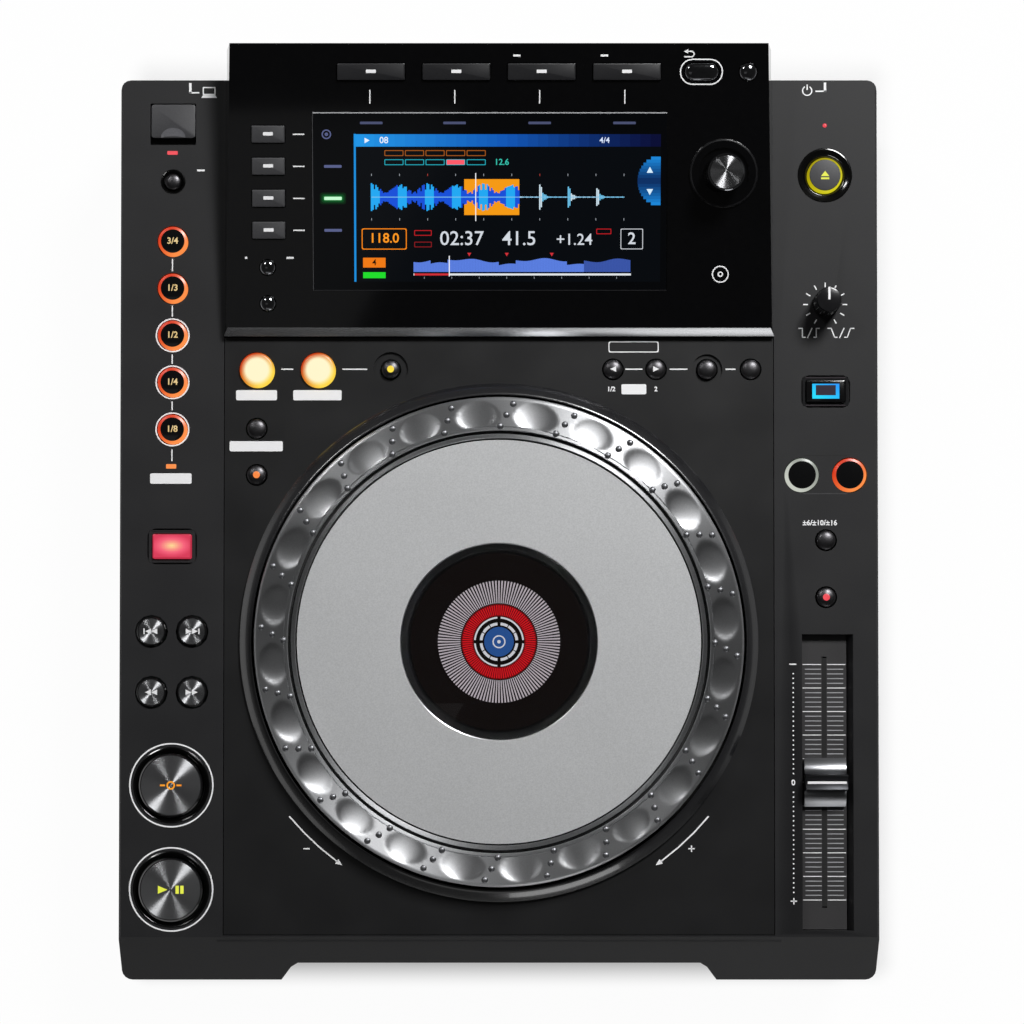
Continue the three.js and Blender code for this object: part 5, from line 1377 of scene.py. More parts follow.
@dataclass(frozen=True)
class RoundButton:
    """One round button: its node, kind, radius, rise, record slot and light."""

    node: str
    kind: Cap
    radius: float
    rise: float
    slot: str = "cap_black"
    glow: Glow | None = None
    dot: LitPlastic | None = None
    cap: Finish = CAP_BLACK
    text: str = ""
    sign: Callable[[Shape, Matrix, int], None] | None = None
    recess: float = 0.0

    def home(self) -> str:
        """Name of the CAD node whose plate has the button's hole."""
        on_strip = abs(node_place(self.node).translation.x) > PLAN.strip_edge
        return "screen_housing" if self.node in FACE_ROWS else "top_case" if on_strip else "centre_panel"

    def add_bore(self, shape: Shape, wide: bool) -> None:
        """Adds the round cutter of the button's hole, or of the recess round it."""
        radius, low = (self.recess + 0.07, -1.2) if wide else (self.radius + 0.4, -3.4)
        shape.lathe([(0, low), (radius, low), (radius, 0.9), (0, 0.9)], node_place(self.node), sides=96)

    def build(self) -> None:
        """Builds the cap by its kind."""
        shape, place = Shape(), node_place(self.node)
        add = {Cap.DOME: self.add_dome, Cap.RINGED: self.add_ringed, Cap.DISC: self.add_disc,
               Cap.SPUN: self.add_spun}[self.kind]
        finishes = add(shape, place, self.radius, self.rise)
        fit(shape.build(self.node + "_cap", finishes), self.node, self.slot, self.node)

    def add_dome(self, shape: Shape, place: Matrix, r: float, h: float) -> list[Finish]:
        """Adds a ball-shaped cap, with a lit dot where it has one.

        Args:
            shape: Shape that gets the cap.
            place: Its foot.
            r: Its radius.
            h: Its rise.

        Returns:
            Its finishes.
        """
        dome = [(r, -3), (r, -0.2)] + [(r * math.cos(a), h * math.sin(a)) for a in
                                       (TURN / 4 * i / 7 for i in range(1, 7))]
        if self.dot:
            dome = [p for p in dome if p[0] > 1.5]
            top = h * math.sqrt(1 - (1.4 / r) ** 2)
            shape.lathe([*dome, (1.4, top), (1.3, top + 0.03), (0.7, h), (0, h)], place, (0,) * len(dome) + (1,))
            return [self.cap, self.dot]
        shape.lathe([*dome, (0, h)], place)
        if self.sign:
            self.sign(shape, shifted(place, z=h), 1)
        return [self.cap, WHITE_INK]

    def add_ringed(self, shape: Shape, place: Matrix, r: float, h: float) -> list[Finish]:
        """Adds a cap with a lit ring round its black centre.

        Args:
            shape: Shape that gets the cap.
            place: Its foot.
            r: Its radius.
            h: Its rise.

        Returns:
            Its finishes.
        """
        inner = r - self.glow.band
        shape.lathe([(r, -3), (r, h - 1.1), (r - 0.2, h - 0.75), (inner, h - 0.45), (inner, h - 1.0),
                     (0, h - 1.0)], place, (1,), 56, tint=self.glow.rim())
        shape.lathe([(inner - 0.05, h - 0.9), (inner - 0.05, h - 0.42), (inner - 0.2, h - 0.25), (r * 0.5, h - 0.04),
                     (0, h)], place, (0,), 56)
        top = shifted(place, z=h)
        if self.text:
            shape.digits(self.text, r * 0.6, top, 2, 0.02)
        if self.sign:
            self.sign(shape, top, 2)
        return [self.cap, LIT_TINTED, LIT_LIME if self.sign else BEIGE_INK]

    def add_disc(self, shape: Shape, place: Matrix, r: float, h: float) -> list[Finish]:
        """Adds a lit disc, deeper coloured at its edge.

        Args:
            shape: Shape that gets the disc.
            place: Its foot.
            r: Its radius.
            h: Its rise.

        Returns:
            Its finishes.
        """
        rim = self.glow.rim()

        def tint(middle: Vector) -> str:
            """Runs from the rim's colour to the pale middle."""
            return blend(self.glow.middle, rim(middle), (middle.to_2d().length - (r - 2.4)) / 2.1)

        slope = ((0, 0.9), (0.25, 0.5), (0.55, 0.3), (0.9, 0.2), (1.4, 0.15), (1.9, 0.11), (2.4, 0.08))
        shape.lathe([(r, -3), *[(r - inset, h - drop) for inset, drop in slope], (0, h)], place, (0,), 64, tint=tint)
        return [LIT_TINTED]

    def add_spun(self, shape: Shape, place: Matrix, r: float, h: float) -> list[Finish]:
        """Adds a turned metal disc with a narrow edge.

        Args:
            shape: Shape that gets the disc.
            place: Its foot.
            r: Its radius.
            h: Its rise.

        Returns:
            Its finishes.
        """
        edge = 0.85
        shape.lathe([(r, -3), (r, h - 0.8), (r - edge * 0.6, h - 0.25), (r - edge, h - 0.25),
                     (r - edge - 0.05, h - 0.33), (r * 0.5, h - 0.34), (0, h - 0.35)], place, (1, 1, 1, 1, 0), 96)
        if self.sign:
            self.sign(shape, shifted(place, z=h - 0.3), 2)
        return [SPUN_CAP, CAP_GLOSS, self.dot or WHITE_INK]


def bore_holes(plate: Object, node: str) -> None:
    """Cuts the plate's button holes finely round.

    Args:
        plate: Copy of the plate.
        node: CAD node that it stands for.
    """
    for wide in (False, True):
        cutters = Shape()
        for button in ROUND_BUTTONS:
            if button.home() == node and (button.recess or not wide):
                button.add_bore(cutters, wide)
        if cutters.verts:
            trim(plate, cutters)


def arrow_sign(ways: int, count: int, stop: bool) -> Callable[[Shape, Matrix, int], None]:
    """Makes a sign of one or more arrow heads.

    Args:
        ways: 1 to the right, -1 to the left.
        count: How many heads.
        stop: True for a bar at the tip.

    Returns:
        Function that adds the sign to a shape.
    """
    def draw(shape: Shape, place: Matrix, slot: int) -> None:
        """Adds the heads and the bar."""
        for x in ((i - count / 2 + 0.5) * 2.5 for i in range(count)):
            shape.polygon([(ways * (x - 1.2), -1.15 * ways), (ways * (x + 1.2), 0), (ways * (x - 1.2), 1.15 * ways)],
                          place, slot=slot)
        if stop:
            shape.bar(0.5, 2.3, shifted(place, ways * (count * 1.25 + 0.35)), slot=slot)
    return draw


def play_sign(shape: Shape, place: Matrix, slot: int) -> None:
    """Triangle and two bars."""
    shape.polygon([(-5.0, -1.6), (-1.2, 0), (-5.0, 1.6)], place, slot=slot)
    for x in (2.7, 4.6):
        shape.bar(1.3, 3.2, shifted(place, x), slot=slot)


def cue_sign(shape: Shape, place: Matrix, slot: int) -> None:
    """Ring between two short bars."""
    shape.ring(1.7, 1.1, place, slot=slot, sides=40)
    for x in (-3.3, 3.3):
        shape.bar(2.0, 0.7, shifted(place, x), slot=slot)


def eject_sign(shape: Shape, place: Matrix, slot: int) -> None:
    """Triangle over a bar."""
    shape.polygon([(-1.65, -0.5), (1.65, -0.5), (0, 1.6)], place, slot=slot)
    shape.bar(3.3, 0.75, shifted(place, y=-1.4), slot=slot)


AMBER_RING = Glow("#d83c1c", "#ff9048")
WARM_DISC = Glow("#c43a08", "#ffd84a", "#fff6cc")
LIME_RING = Glow("#a89c0a", "#d2ca1e", band=0.75)
# The sync ring is unlit, yet glows: painted light, paler towards the front left and greyer towards the right rear.
UNLIT_RING_PAINTED_GLOW = Glow("#c6cac0", "#8f948c", direction=45)
LIT_CUE = LitPlastic("lit_cue_sign", "#ffb028", "#f08018", 1.0)

SMALL_DOME = {"kind": Cap.DOME, "radius": 4.03, "rise": 1.6, "cap": CAP_PEARL}
SMALL_MIRROR = {"kind": Cap.DOME, "radius": 3.2, "rise": 1.6, "cap": CAP_MIRROR}
SMALL_SPUN = {"kind": Cap.SPUN, "radius": 6.05, "rise": 1.6, "slot": "button_metal"}
LARGE_SPUN = {"kind": Cap.SPUN, "radius": 12.8, "rise": 3.0, "slot": "button_metal", "recess": 15.3}

ROUND_BUTTONS: tuple[RoundButton, ...] = (
    *[RoundButton(f"beat_button_{i + 1}", Cap.RINGED, 5.9, 1.5, "lit_amber", AMBER_RING, cap=CAP_GLOSS, text=text)
      for i, text in enumerate(("1/8", "1/4", "1/2", "1/3", "3/4"))],
    RoundButton("usb_stop_button", Cap.DOME, 3.25, 1.2, cap=CAP_PEARL, recess=4.95),
    RoundButton("track_back_button", sign=arrow_sign(-1, 2, True), **SMALL_SPUN),
    RoundButton("track_forward_button", sign=arrow_sign(1, 2, True), **SMALL_SPUN),
    RoundButton("search_back_button", sign=arrow_sign(-1, 2, False), **SMALL_SPUN),
    RoundButton("search_forward_button", sign=arrow_sign(1, 2, False), **SMALL_SPUN),
    RoundButton("cue_button", dot=LIT_CUE, sign=cue_sign, **LARGE_SPUN),
    RoundButton("play_button", dot=LIT_LIME, sign=play_sign, **LARGE_SPUN),
    RoundButton("loop_in_button", Cap.DISC, 6.93, 2.0, "lit_amber", WARM_DISC),
    RoundButton("loop_out_button", Cap.DISC, 6.93, 2.0, "lit_amber", WARM_DISC),
    RoundButton("reloop_button", Cap.DOME, 3.8, 1.6, cap=CAP_PEARL, dot=LIT_YELLOW_DOT, recess=6.9),
    RoundButton("beat_loop_button", **SMALL_DOME),
    RoundButton("slip_button", dot=LIT_AMBER, **SMALL_DOME),
    RoundButton("call_left_button", sign=arrow_sign(-1, 1, False), **SMALL_DOME),
    RoundButton("call_right_button", sign=arrow_sign(1, 1, False), **SMALL_DOME),
    RoundButton("delete_button", recess=6.05, **SMALL_DOME),
    RoundButton("memory_button", **SMALL_DOME),
    RoundButton("eject_button", Cap.RINGED, 7.05, 1.2, "lit_yellow", LIME_RING, cap=DOOR_GREY, sign=eject_sign,
                recess=10.95),
    RoundButton("sync_button", Cap.RINGED, 6.7, 1.5, "cap_black", UNLIT_RING_PAINTED_GLOW, cap=CAP_GLOSS),
    RoundButton("master_button", Cap.RINGED, 6.7, 1.5, "lit_amber", AMBER_RING, cap=CAP_GLOSS),
    RoundButton("tempo_range_button", **SMALL_DOME),
    RoundButton("master_tempo_button", dot=LIT_RED, **SMALL_DOME),
    RoundButton("time_mode_button", **SMALL_MIRROR),
    RoundButton("quantize_button", **SMALL_MIRROR),
    RoundButton("tag_button", Cap.DOME, 3.6, 1.6, cap=CAP_MIRROR),
)


@dataclass
class Keys:
    """Square and long keys: menu keys, source keys, back key, direction key and mode key."""

    function_size: ClassVar[tuple] = (27.0, 6.65, 1.4)
    source_size: ClassVar[tuple] = (13.2, 6.85, 1.4)
    back_size: ClassVar[tuple] = (13.4, 6.9, 1.4)
    direction_size: ClassVar[tuple] = (15.4, 9.8, 1.3)
    mode_size: ClassVar[tuple] = (15.6, 8.9, 1.3)
    mode_window: ClassVar[tuple] = (10.9, 6.0, 1.3)

    def build(self) -> None:
        """Builds all keys."""
        for i in range(4):
            self.build_menu_key(f"function_button_{i + 1}", self.function_size, KEY_DARK_AND_EDGE_HIGHLIGHT)
            self.build_menu_key(f"source_button_{i + 1}", self.source_size, KEY_GREY_AND_EDGE_HIGHLIGHT)
        self.build_back_key()
        self.build_direction_key()
        self.build_mode_key()

    def build_menu_key(self, node: str, size: tuple, finish: Moulding) -> None:
        """Builds a key with a small white window.

        Args:
            node: The key's CAD node.
            size: Width, length and height.
            finish: Its finish.
        """
        shape, place, (w, l, h), edge = Shape(), node_place(node), size, 0.45
        shape.slab(rounded(w, l, 0.4), ((0, -3), (0, h - edge), (edge * 0.3, h - edge * 0.3), (edge, h)), place)
        shape.bar(4.0, 1.35, shifted(place, 0, 0.15, h), 0.05, 0.25, 1)
        fit(shape.build(node + "_cap", [finish, WHITE_INK]), node, "key_plastic", node)

    def build_back_key(self) -> None:
        """Builds the glossy capsule-shaped key."""
        shape, (w, l, h) = Shape(), self.back_size
        steps = [(0, -3), (0, h - 1.2)] + [(l / 2 * (1 - math.cos(a)) * 0.9, h - 1.2 + 1.2 * math.sin(a))
                                           for a in (TURN / 4 * i / 6 for i in range(1, 7))]
        shape.slab(rounded(w, l, l / 2, 8, 1.0), steps, node_place("back_button"))
        fit(shape.build("back_button_cap", [CAP_MIRROR]), "back_button", "key_plastic", "back_button")

    @staticmethod
    def add_lit_key(shape: Shape, size: tuple, place: Matrix, slot: int, body_tint: str) -> None:
        """Adds the body under a lit face."""
        w, l, h = size
        shape.slab(rounded(w, l, 0.5), ((0, -3), (0, h - 0.45), (0.13, h - 0.13), (0.45, h)), place, (slot,), body_tint)

    @staticmethod
    def add_lit_face(shape: Shape, size: tuple, place: Matrix, tint: Callable[[float, float], str],
                     cells: tuple[int, int]) -> None:
        """Tiles the top of a key with lit cells.

        Args:
            shape: Shape that gets the tiles.
            size: Width, length and height of the tiled field.
            place: Its place.
            tint: Colour by the share of half width and half length.
            cells: Tiles across and along.
        """
        (w, l, h), (across, along) = size, cells
        grid = [(w * (i / across - 0.5), l * (j / along - 0.5), h + 0.02)
                for j in range(along + 1) for i in range(across + 1)]
        for j in range(along):
            for i in range(across):
                a = j * (across + 1) + i
                colour = tint((2 * i + 1) / across - 1, (2 * j + 1) / along - 1)
                shape.add([grid[a], grid[a + 1], grid[a + across + 2], grid[a + across + 1]], [(0, 1, 2, 3)],
                          place, 0, colour)

    def build_direction_key(self) -> None:
        """Builds the lit red key in its dark frame."""
        shape, place, (w, l, h) = Shape(), node_place("direction_button"), self.direction_size
        pink, rim = "#f6607a", 0.74
        self.add_lit_key(shape, self.direction_size, place, 0, "#c03048")

        def tint(u: float, v: float) -> str:
            """Pale yellow in the middle, pink, deep pink at the rim."""
            reach = math.hypot(u * 1.05, (v - 0.05) * 1.2)
            return blend("#ffdf96", pink, reach * 1.35) if reach < rim else blend(pink, "#d83a58", (reach - rim) * 2)

        self.add_lit_face(shape, (w - 0.9, l - 0.9, h), place, tint, (22, 14))
        fit(shape.build("direction_button_cap", [LIT_TINTED]), "direction_button", "lit_red", "direction_button")
        self.build_frame("direction_key_frame", self.direction_size, 2.3, place, [CASE_PAINT, CASE_PAINT])

    def build_mode_key(self) -> None:
        """Builds the key with a lit blue outline in a dark frame whose front and rear edges carry a painted highlight.
        """
        shape, place = Shape(), node_place("jog_mode_button")
        self.add_lit_key(shape, self.mode_size, place, 1, "")

        def tint(u: float, v: float) -> str:
            """Cyan at the lower left, bluer at the right, dark in the middle."""
            inside = -0.74 < u < 0.76 and -0.52 < v < 0.8
            return "#2c2433" if inside else blend("#18dcff", "#189cff", (u + v) * 0.35 + 0.45)

        self.add_lit_face(shape, self.mode_window, place, tint, (38, 22))
        fit(shape.build("jog_mode_button_cap", [LIT_TINTED, CAP_GLOSS]), "jog_mode_button", "lit_blue",
            "jog_mode_button")
        self.build_frame("jog_mode_frame", self.mode_size, 2.1, place, [CAP_BLACK, FRAME_EDGE_HIGHLIGHT])

    @staticmethod
    def build_frame(name: str, size: tuple, margin: float, place: Matrix, finishes: list[Finish]) -> None:
        """Builds the frame in the recess round a key.

        Args:
            name: Name of the piece.
            size: Width, length and height of the key.
            margin: Width of the recess round it.
            place: The key's place.
            finishes: Finish of the frame, and of its front and rear edges.
        """
        shape = Shape()
        w, l = size[0] + 2 * margin - 1.3, size[1] + 2 * margin - 1.3
        shape.frame(rounded(w, l, 1.2), margin - 1.0, place, -1.15, -0.15)
        # Strips along the front and rear edges in the second finish; on the mode key they are a painted highlight of
        # those edges.
        for turn in (1, -1):
            shape.bar(w - 2.4, 0.55, shifted(place, 0, turn * (l / 2 - 0.3), -0.14), 0.12, 0.1, 1)
        fit(shape.build(name, finishes), "base", "case_plastic")


@dataclass
class UsbPort:
    """Door over the stick's pocket with its scoop."""

    width: float = 17.8
    front: float = 153.02
    rear: float = 166.62
    scoop_half: float = 5.0
    scoop_reach: float = 3.9
    scoop_steps: int = 12

    def build(self) -> None:
        """Builds the door."""
        door, steps = Shape(), self.scoop_steps
        place = PLAN.on_deck(-PLAN.column, (self.front + self.rear) / 2, -0.3)
        l = self.rear - self.front
        door.slab(rounded(self.width, l, 1.1), ((0, -1.5), (0, -0.3), (0.1, -0.08), (0.35, 0)), place)
        front = -l / 2 + 0.15
        rings = []
        for share in (row / 6 for row in range(7)):
            half, reach = self.scoop_half * (1 - 0.18 * share), self.scoop_reach * (1 - 0.86 * share)
            rings.append([(half * math.cos(math.pi * i / steps), front + reach * math.sin(math.pi * i / steps),
                           0.03 + 0.26 * (1 - share) ** 2) for i in range(steps + 1)])
        for near, far in zip(rings, rings[1:]):
            door.add([*near, *far], [(i, i + 1, steps + 2 + i, steps + 1 + i) for i in range(steps)], place, 1)
        fit(door.build("usb_door_flap", [DOOR_GREY, SCOOP_GREY], 40), "usb_door", "key_plastic", "usb_door")


@dataclass
class Knobs:
    """Selector knob and speed knob."""

    selector_foot: float = 7.6
    selector_top: float = 7.4
    selector_low: float = 1.6
    selector_high: float = 17.5
    speed_foot: float = 5.45
    speed_top: float = 5.2
    speed_low: float = 0.8
    speed_high: float = 16.8

    def build(self) -> None:
        """Builds both knobs."""
        self.build_selector()
        self.build_speed()

    def build_selector(self) -> None:
        """Builds the ribbed knob with a turned top and a bright edge."""
        place = PLAN.on_face(89.65, FACE_ROWS["selector_knob"])
        low, high, foot, r = self.selector_low, self.selector_high, self.selector_foot, self.selector_top
        knob = Shape()
        knob.lathe([(0, low), (foot - 0.45, low), (r - 0.4, high - 1.1), (r - 0.1, high - 0.7), (r - 0.1, high - 0.3),
                    (r - 0.5, high - 0.05), (r - 0.9, high - 0.12)], place, (0, 0, 0, 1, 1, 1), 96)
        knob.lathe([(r - 0.95, high - 0.6), (r - 0.95, high - 0.1), (r * 0.5, high - 0.03), (0, high)], place, (2,), 96)
        fit(knob.build("selector_knob_body", [CAP_BLACK, CAP_MIRROR, SPUN_CAP]), "selector_knob", "knob_finish",
            "selector_knob")
        rib = self.rib((foot - 0.7, foot - 0.05, low + 0.3), (r - 0.6, r, high - 1.2), 0.2, 0.1)
        ribs = repeated(rib, "selector_knob_ribs", CAP_BLACK, 40, 0.0, 0.0, 9.0, tuple(place.to_translation()),
                        tilt=PLAN.face_tilt)
        fit(ribs, "selector_knob", "knob_finish")

    def build_speed(self) -> None:
        """Builds the small cylindrical knob with a white pointer."""
        low, high, foot, r = self.speed_low, self.speed_high, self.speed_foot, self.speed_top
        place = node_place("speed_knob")
        knob = Shape()
        knob.lathe([(0, low), (foot - 0.3, low), (r - 0.25, high - 0.6), (r - 0.45, high - 0.15), (r - 0.9, high),
                    (0, high - 0.05)], place, (0,), 72)
        knob.bar(0.9, 5.0, shifted(place, 0, 2.4, high), 0.05, 0.1, 1)
        fit(knob.build("speed_knob_body", [CAP_BLACK, WHITE_INK]), "speed_knob", "knob_finish", "speed_knob")
        rib = self.rib((foot - 0.5, foot - 0.02, low + 0.3), (r - 0.5, r - 0.02, high - 0.9), 0.16, 0.07)
        ribs = repeated(rib, "speed_knob_ribs", CAP_BLACK, 36, 0.0, 5.0, 10.0, tuple(place.to_translation()))
        fit(ribs, "speed_knob", "knob_finish")

    @staticmethod
    def rib(foot: Point, top: Point, root: float, crest: float) -> Shape:
        """Makes a knob's rib from its two ends.

        Args:
            foot: Inner radius, outer radius and height of its lower end.
            top: The same of its upper end.
            root: Half its width at the knob.
            crest: Half its width outside.

        Returns:
            The rib's shape.
        """
        shape = Shape()
        shape.loft([[(inner, -root, z), (outer, -crest, z), (outer, crest, z), (inner, root, z)]
                    for inner, outer, z in (foot, top)], Matrix())
        return shape


@dataclass
class TempoSlider:
    """Scale on the slider's plate and the cap that runs on it."""

    x: float = 130.95
    y: float = -106.8
    plate: float = -4.0
    travel: float = 47.35
    slot: float = 2.0
    width: float = 16.8

    def build(self) -> None:
        """Builds the scale and the cap."""
        self.build_scale()
        self.build_cap()

    def build_scale(self) -> None:
        """Builds its lines by geometry nodes: long ones every fifth step, short ones between."""
        step, inner = self.travel / 25, 1.2
        for name, half, count, pitch, height, finish in (("long", 8.65, 11, 5, 0.05, WHITE_INK),
                                                         ("short", 7.7, 51, 1, 0.03, GREY_INK_AND_EDGE_HIGHLIGHT)):
            for side, mark in ((-1, "left"), (1, "right")):
                line = Shape()
                line.bar(half - inner, 0.34, Matrix.Translation((side * (half + inner) / 2, 0, 0)), height)
                row = repeated(line, f"tempo_scale_{name}_{mark}", finish, count,
                               centre=(self.x, self.y - 25 * step, PLAN.deck + self.plate), pitch=(0, pitch * step, 0))
                fit(row, "base", "fader_plastic")
        # A black bar along the slider's slot: painted shade in the slot.
        slot = Shape()
        slot.bar(self.slot, 2 * self.travel + 5.2, PLAN.on_deck(self.x, self.y, self.plate), 0.02, 0.2)
        fit(slot.build("tempo_slot_shade", [SHADOW_BLACK]), "base", "fader_plastic")

    def build_cap(self) -> None:
        """Builds two rounded lobes with a darker ridge between them."""
        cap, place = Shape(), PLAN.on_deck(self.x, self.y, self.plate)
        for turn in (1, -1):
            lobe = [(turn * 3.3, 0.9), (turn * 9.75, 0.9), (turn * 9.75, 2.5)]
            lobe += [(turn * (9.5 - 6.2 * t), 2.7 + 2.5 * math.sin(t * math.pi * 0.62)) for t in
                     (i / 8 for i in range(9))]
            self.add_across(cap, lobe, place, 0)
        self.add_across(cap, [(-3.2, 0.9), (3.2, 0.9), (3.2, 11.3), (2.7, 11.9), (1.6, 11.65), (0, 11.5),
                              (-1.6, 11.65), (-2.7, 11.9), (-3.2, 11.3)], place, 1)
        cap.bar(self.width - 1.2, 1.0, shifted(place, z=11.56), 0.06, 0.1, 2)
        cap.bar(self.slot - 0.5, 5.0, shifted(place, z=-0.6), 1.6, 0, 3)
        fit(cap.build("slider_cap_body", [SLIDER_CHROME, SLIDER_RIDGE, WHITE_INK, SHADOW_BLACK], 40), "slider_cap",
            "slider_finish", "slider_cap")

    def add_across(self, cap: Shape, profile: Sequence[Point], place: Matrix, slot: int) -> None:
        """Runs a profile across the cap, its ends shrunk towards its middle.

        Args:
            cap: Shape that gets the body.
            profile: Points of (length, height).
            place: The cap's place.
            slot: Material number.
        """
        half = self.width / 2
        middle_y = sum(y for y, _ in profile) / len(profile)
        middle_z = sum(z for _, z in profile) / len(profile)
        cap.loft([[(x, middle_y + (y - middle_y) * shrink, middle_z + (z - middle_z) * shrink) for y, z in profile]
                  for x, shrink in ((-half, 0.93), (-half + 0.35, 1), (half - 0.35, 1), (half, 0.93))], place, (slot,))


# Rear sockets.


@dataclass
class Rear:
    """Metal, insulators and screws of the rear connector plate."""

    height: float = 46.0
    phonos: ClassVar[tuple[float, ...]] = (-57.0, -38.0, -22.0)
    control_x: float = -77.0
    network_x: float = -96.0
    computer_x: float = -121.0
    mains_x: float = 86.0
    power_x: float = 121.0
    reach: float = 8.0
    earth_raise: float = 4.0
    screw_rise: float = 13.6

    def face(self) -> float:
        """Y of the plate's outer face."""
        return node_box("rear_panel")[1].y - self.reach

    def at(self, x: float, rise: float = 0.0, out: float = 0.0) -> Matrix:
        """Place on the plate that faces the rear, with X turned so that signs read from behind."""
        place = Matrix.Translation((x, self.face() + out, self.height + rise))
        return place @ Matrix.Rotation(math.pi, 4, "Z") @ Matrix.Rotation(math.pi / 2, 4, "X")

    def build(self) -> None:
        """Builds the sockets, the screws and the power mark."""
        self.build_sockets()
        self.build_contacts()
        self.build_screws()
        mark = Shape()
        add_power_mark(mark, self.at(self.power_x, 0, node_box("power_button")[1].y - self.face()))
        fit(mark.build("power_button_mark", [WHITE_INK]), "power_button", "key_plastic")

    def build_sockets(self) -> None:
        """Builds sleeves and insulators of the round sockets, and frames of the square ones."""
        shape = Shape()
        for x, slot in zip(self.phonos, (1, 2, 3)):
            shape.lathe([(5.25, -0.3), (5.25, 1.1), (5.0, 1.26), (4.22, 1.28), (4.22, 7.7), (4.0, 7.95), (3.2, 7.96),
                         (3.1, 7.4)], self.at(x))
            shape.lathe([(3.15, 7.1), (3.15, 7.5), (2.2, 7.6), (1.9, 7.2)], self.at(x), (slot,), closed=True)
        shape.lathe([(3.85, -0.3), (3.85, 0.85), (3.6, 1.08), (2.2, 1.1), (1.9, 0.7), (1.9, -0.3)],
                    self.at(self.control_x), closed=True)
        for x, width, length in ((self.network_x, 12, 9), (self.computer_x, 9, 9)):
            shape.frame(rounded(width + 2, length + 2, 0.4, 2), 1.0, self.at(x), -0.4, 0.25)
        shape.bar(5.2, 3.4, self.at(self.computer_x, 0.0, -7.5), 6.0, 0.2, 1)
        for x, rise in ((-7.0, -0.5), (7.0, -0.5), (0.0, 0.5)):
            shape.slab(rounded(2.12, 4.12, 0.3, 2), ((0, -16.0), (0, -6.3), (0.4, -5.9)),
                       self.at(self.mains_x + x, rise * self.earth_raise))
        fit(shape.build("rear_socket_metal", [NICKEL, WHITE_INK, RED_INSULATOR, SHADOW_BLACK]), "base",
            "shaft_steel")

    def build_contacts(self) -> None:
        """Builds the gold contacts inside the network socket."""
        contact = Shape()
        contact.bar(0.45, 0.5, Matrix(), 5.0)
        row = repeated(contact, "network_contacts", GOLD, 8, pitch=(1.1, 0, 0))
        foot = Vector((self.network_x - 3.85, self.face() - 6.0, self.height + 3.6))
        row.data.transform(Matrix.Translation(foot * MM) @ Matrix.Rotation(-math.pi / 2, 4, "X"))
        fit(row, "base", "shaft_steel")

    def build_screws(self) -> None:
        """Builds pan-head screws along both long sides of the plate."""
        for name, rise in (("upper", self.screw_rise), ("lower", -self.screw_rise)):
            screw = Shape()
            screw.lathe([(2.4, -0.4), (2.4, 0.5), (2.1, 1.0), (1.2, 1.25), (1.1, 0.5), (0, 0.4)],
                        Matrix.Rotation(-math.pi / 2, 4, "X"), sides=24)
            row = repeated(screw, f"rear_screws_{name}", ZINC, 5, centre=(-130, self.face(), self.height + rise),
                           pitch=(65, 0, 0))
            fit(row, "base", "shaft_steel")


# Print on the deck.


def add_power_mark(shape: Shape, place: Matrix) -> None:
    """Adds an open ring with a short line."""
    shape.arc(2.1, 1.6, 120, 420, place)
    shape.bar(0.5, 2.2, shifted(place, y=1.4))


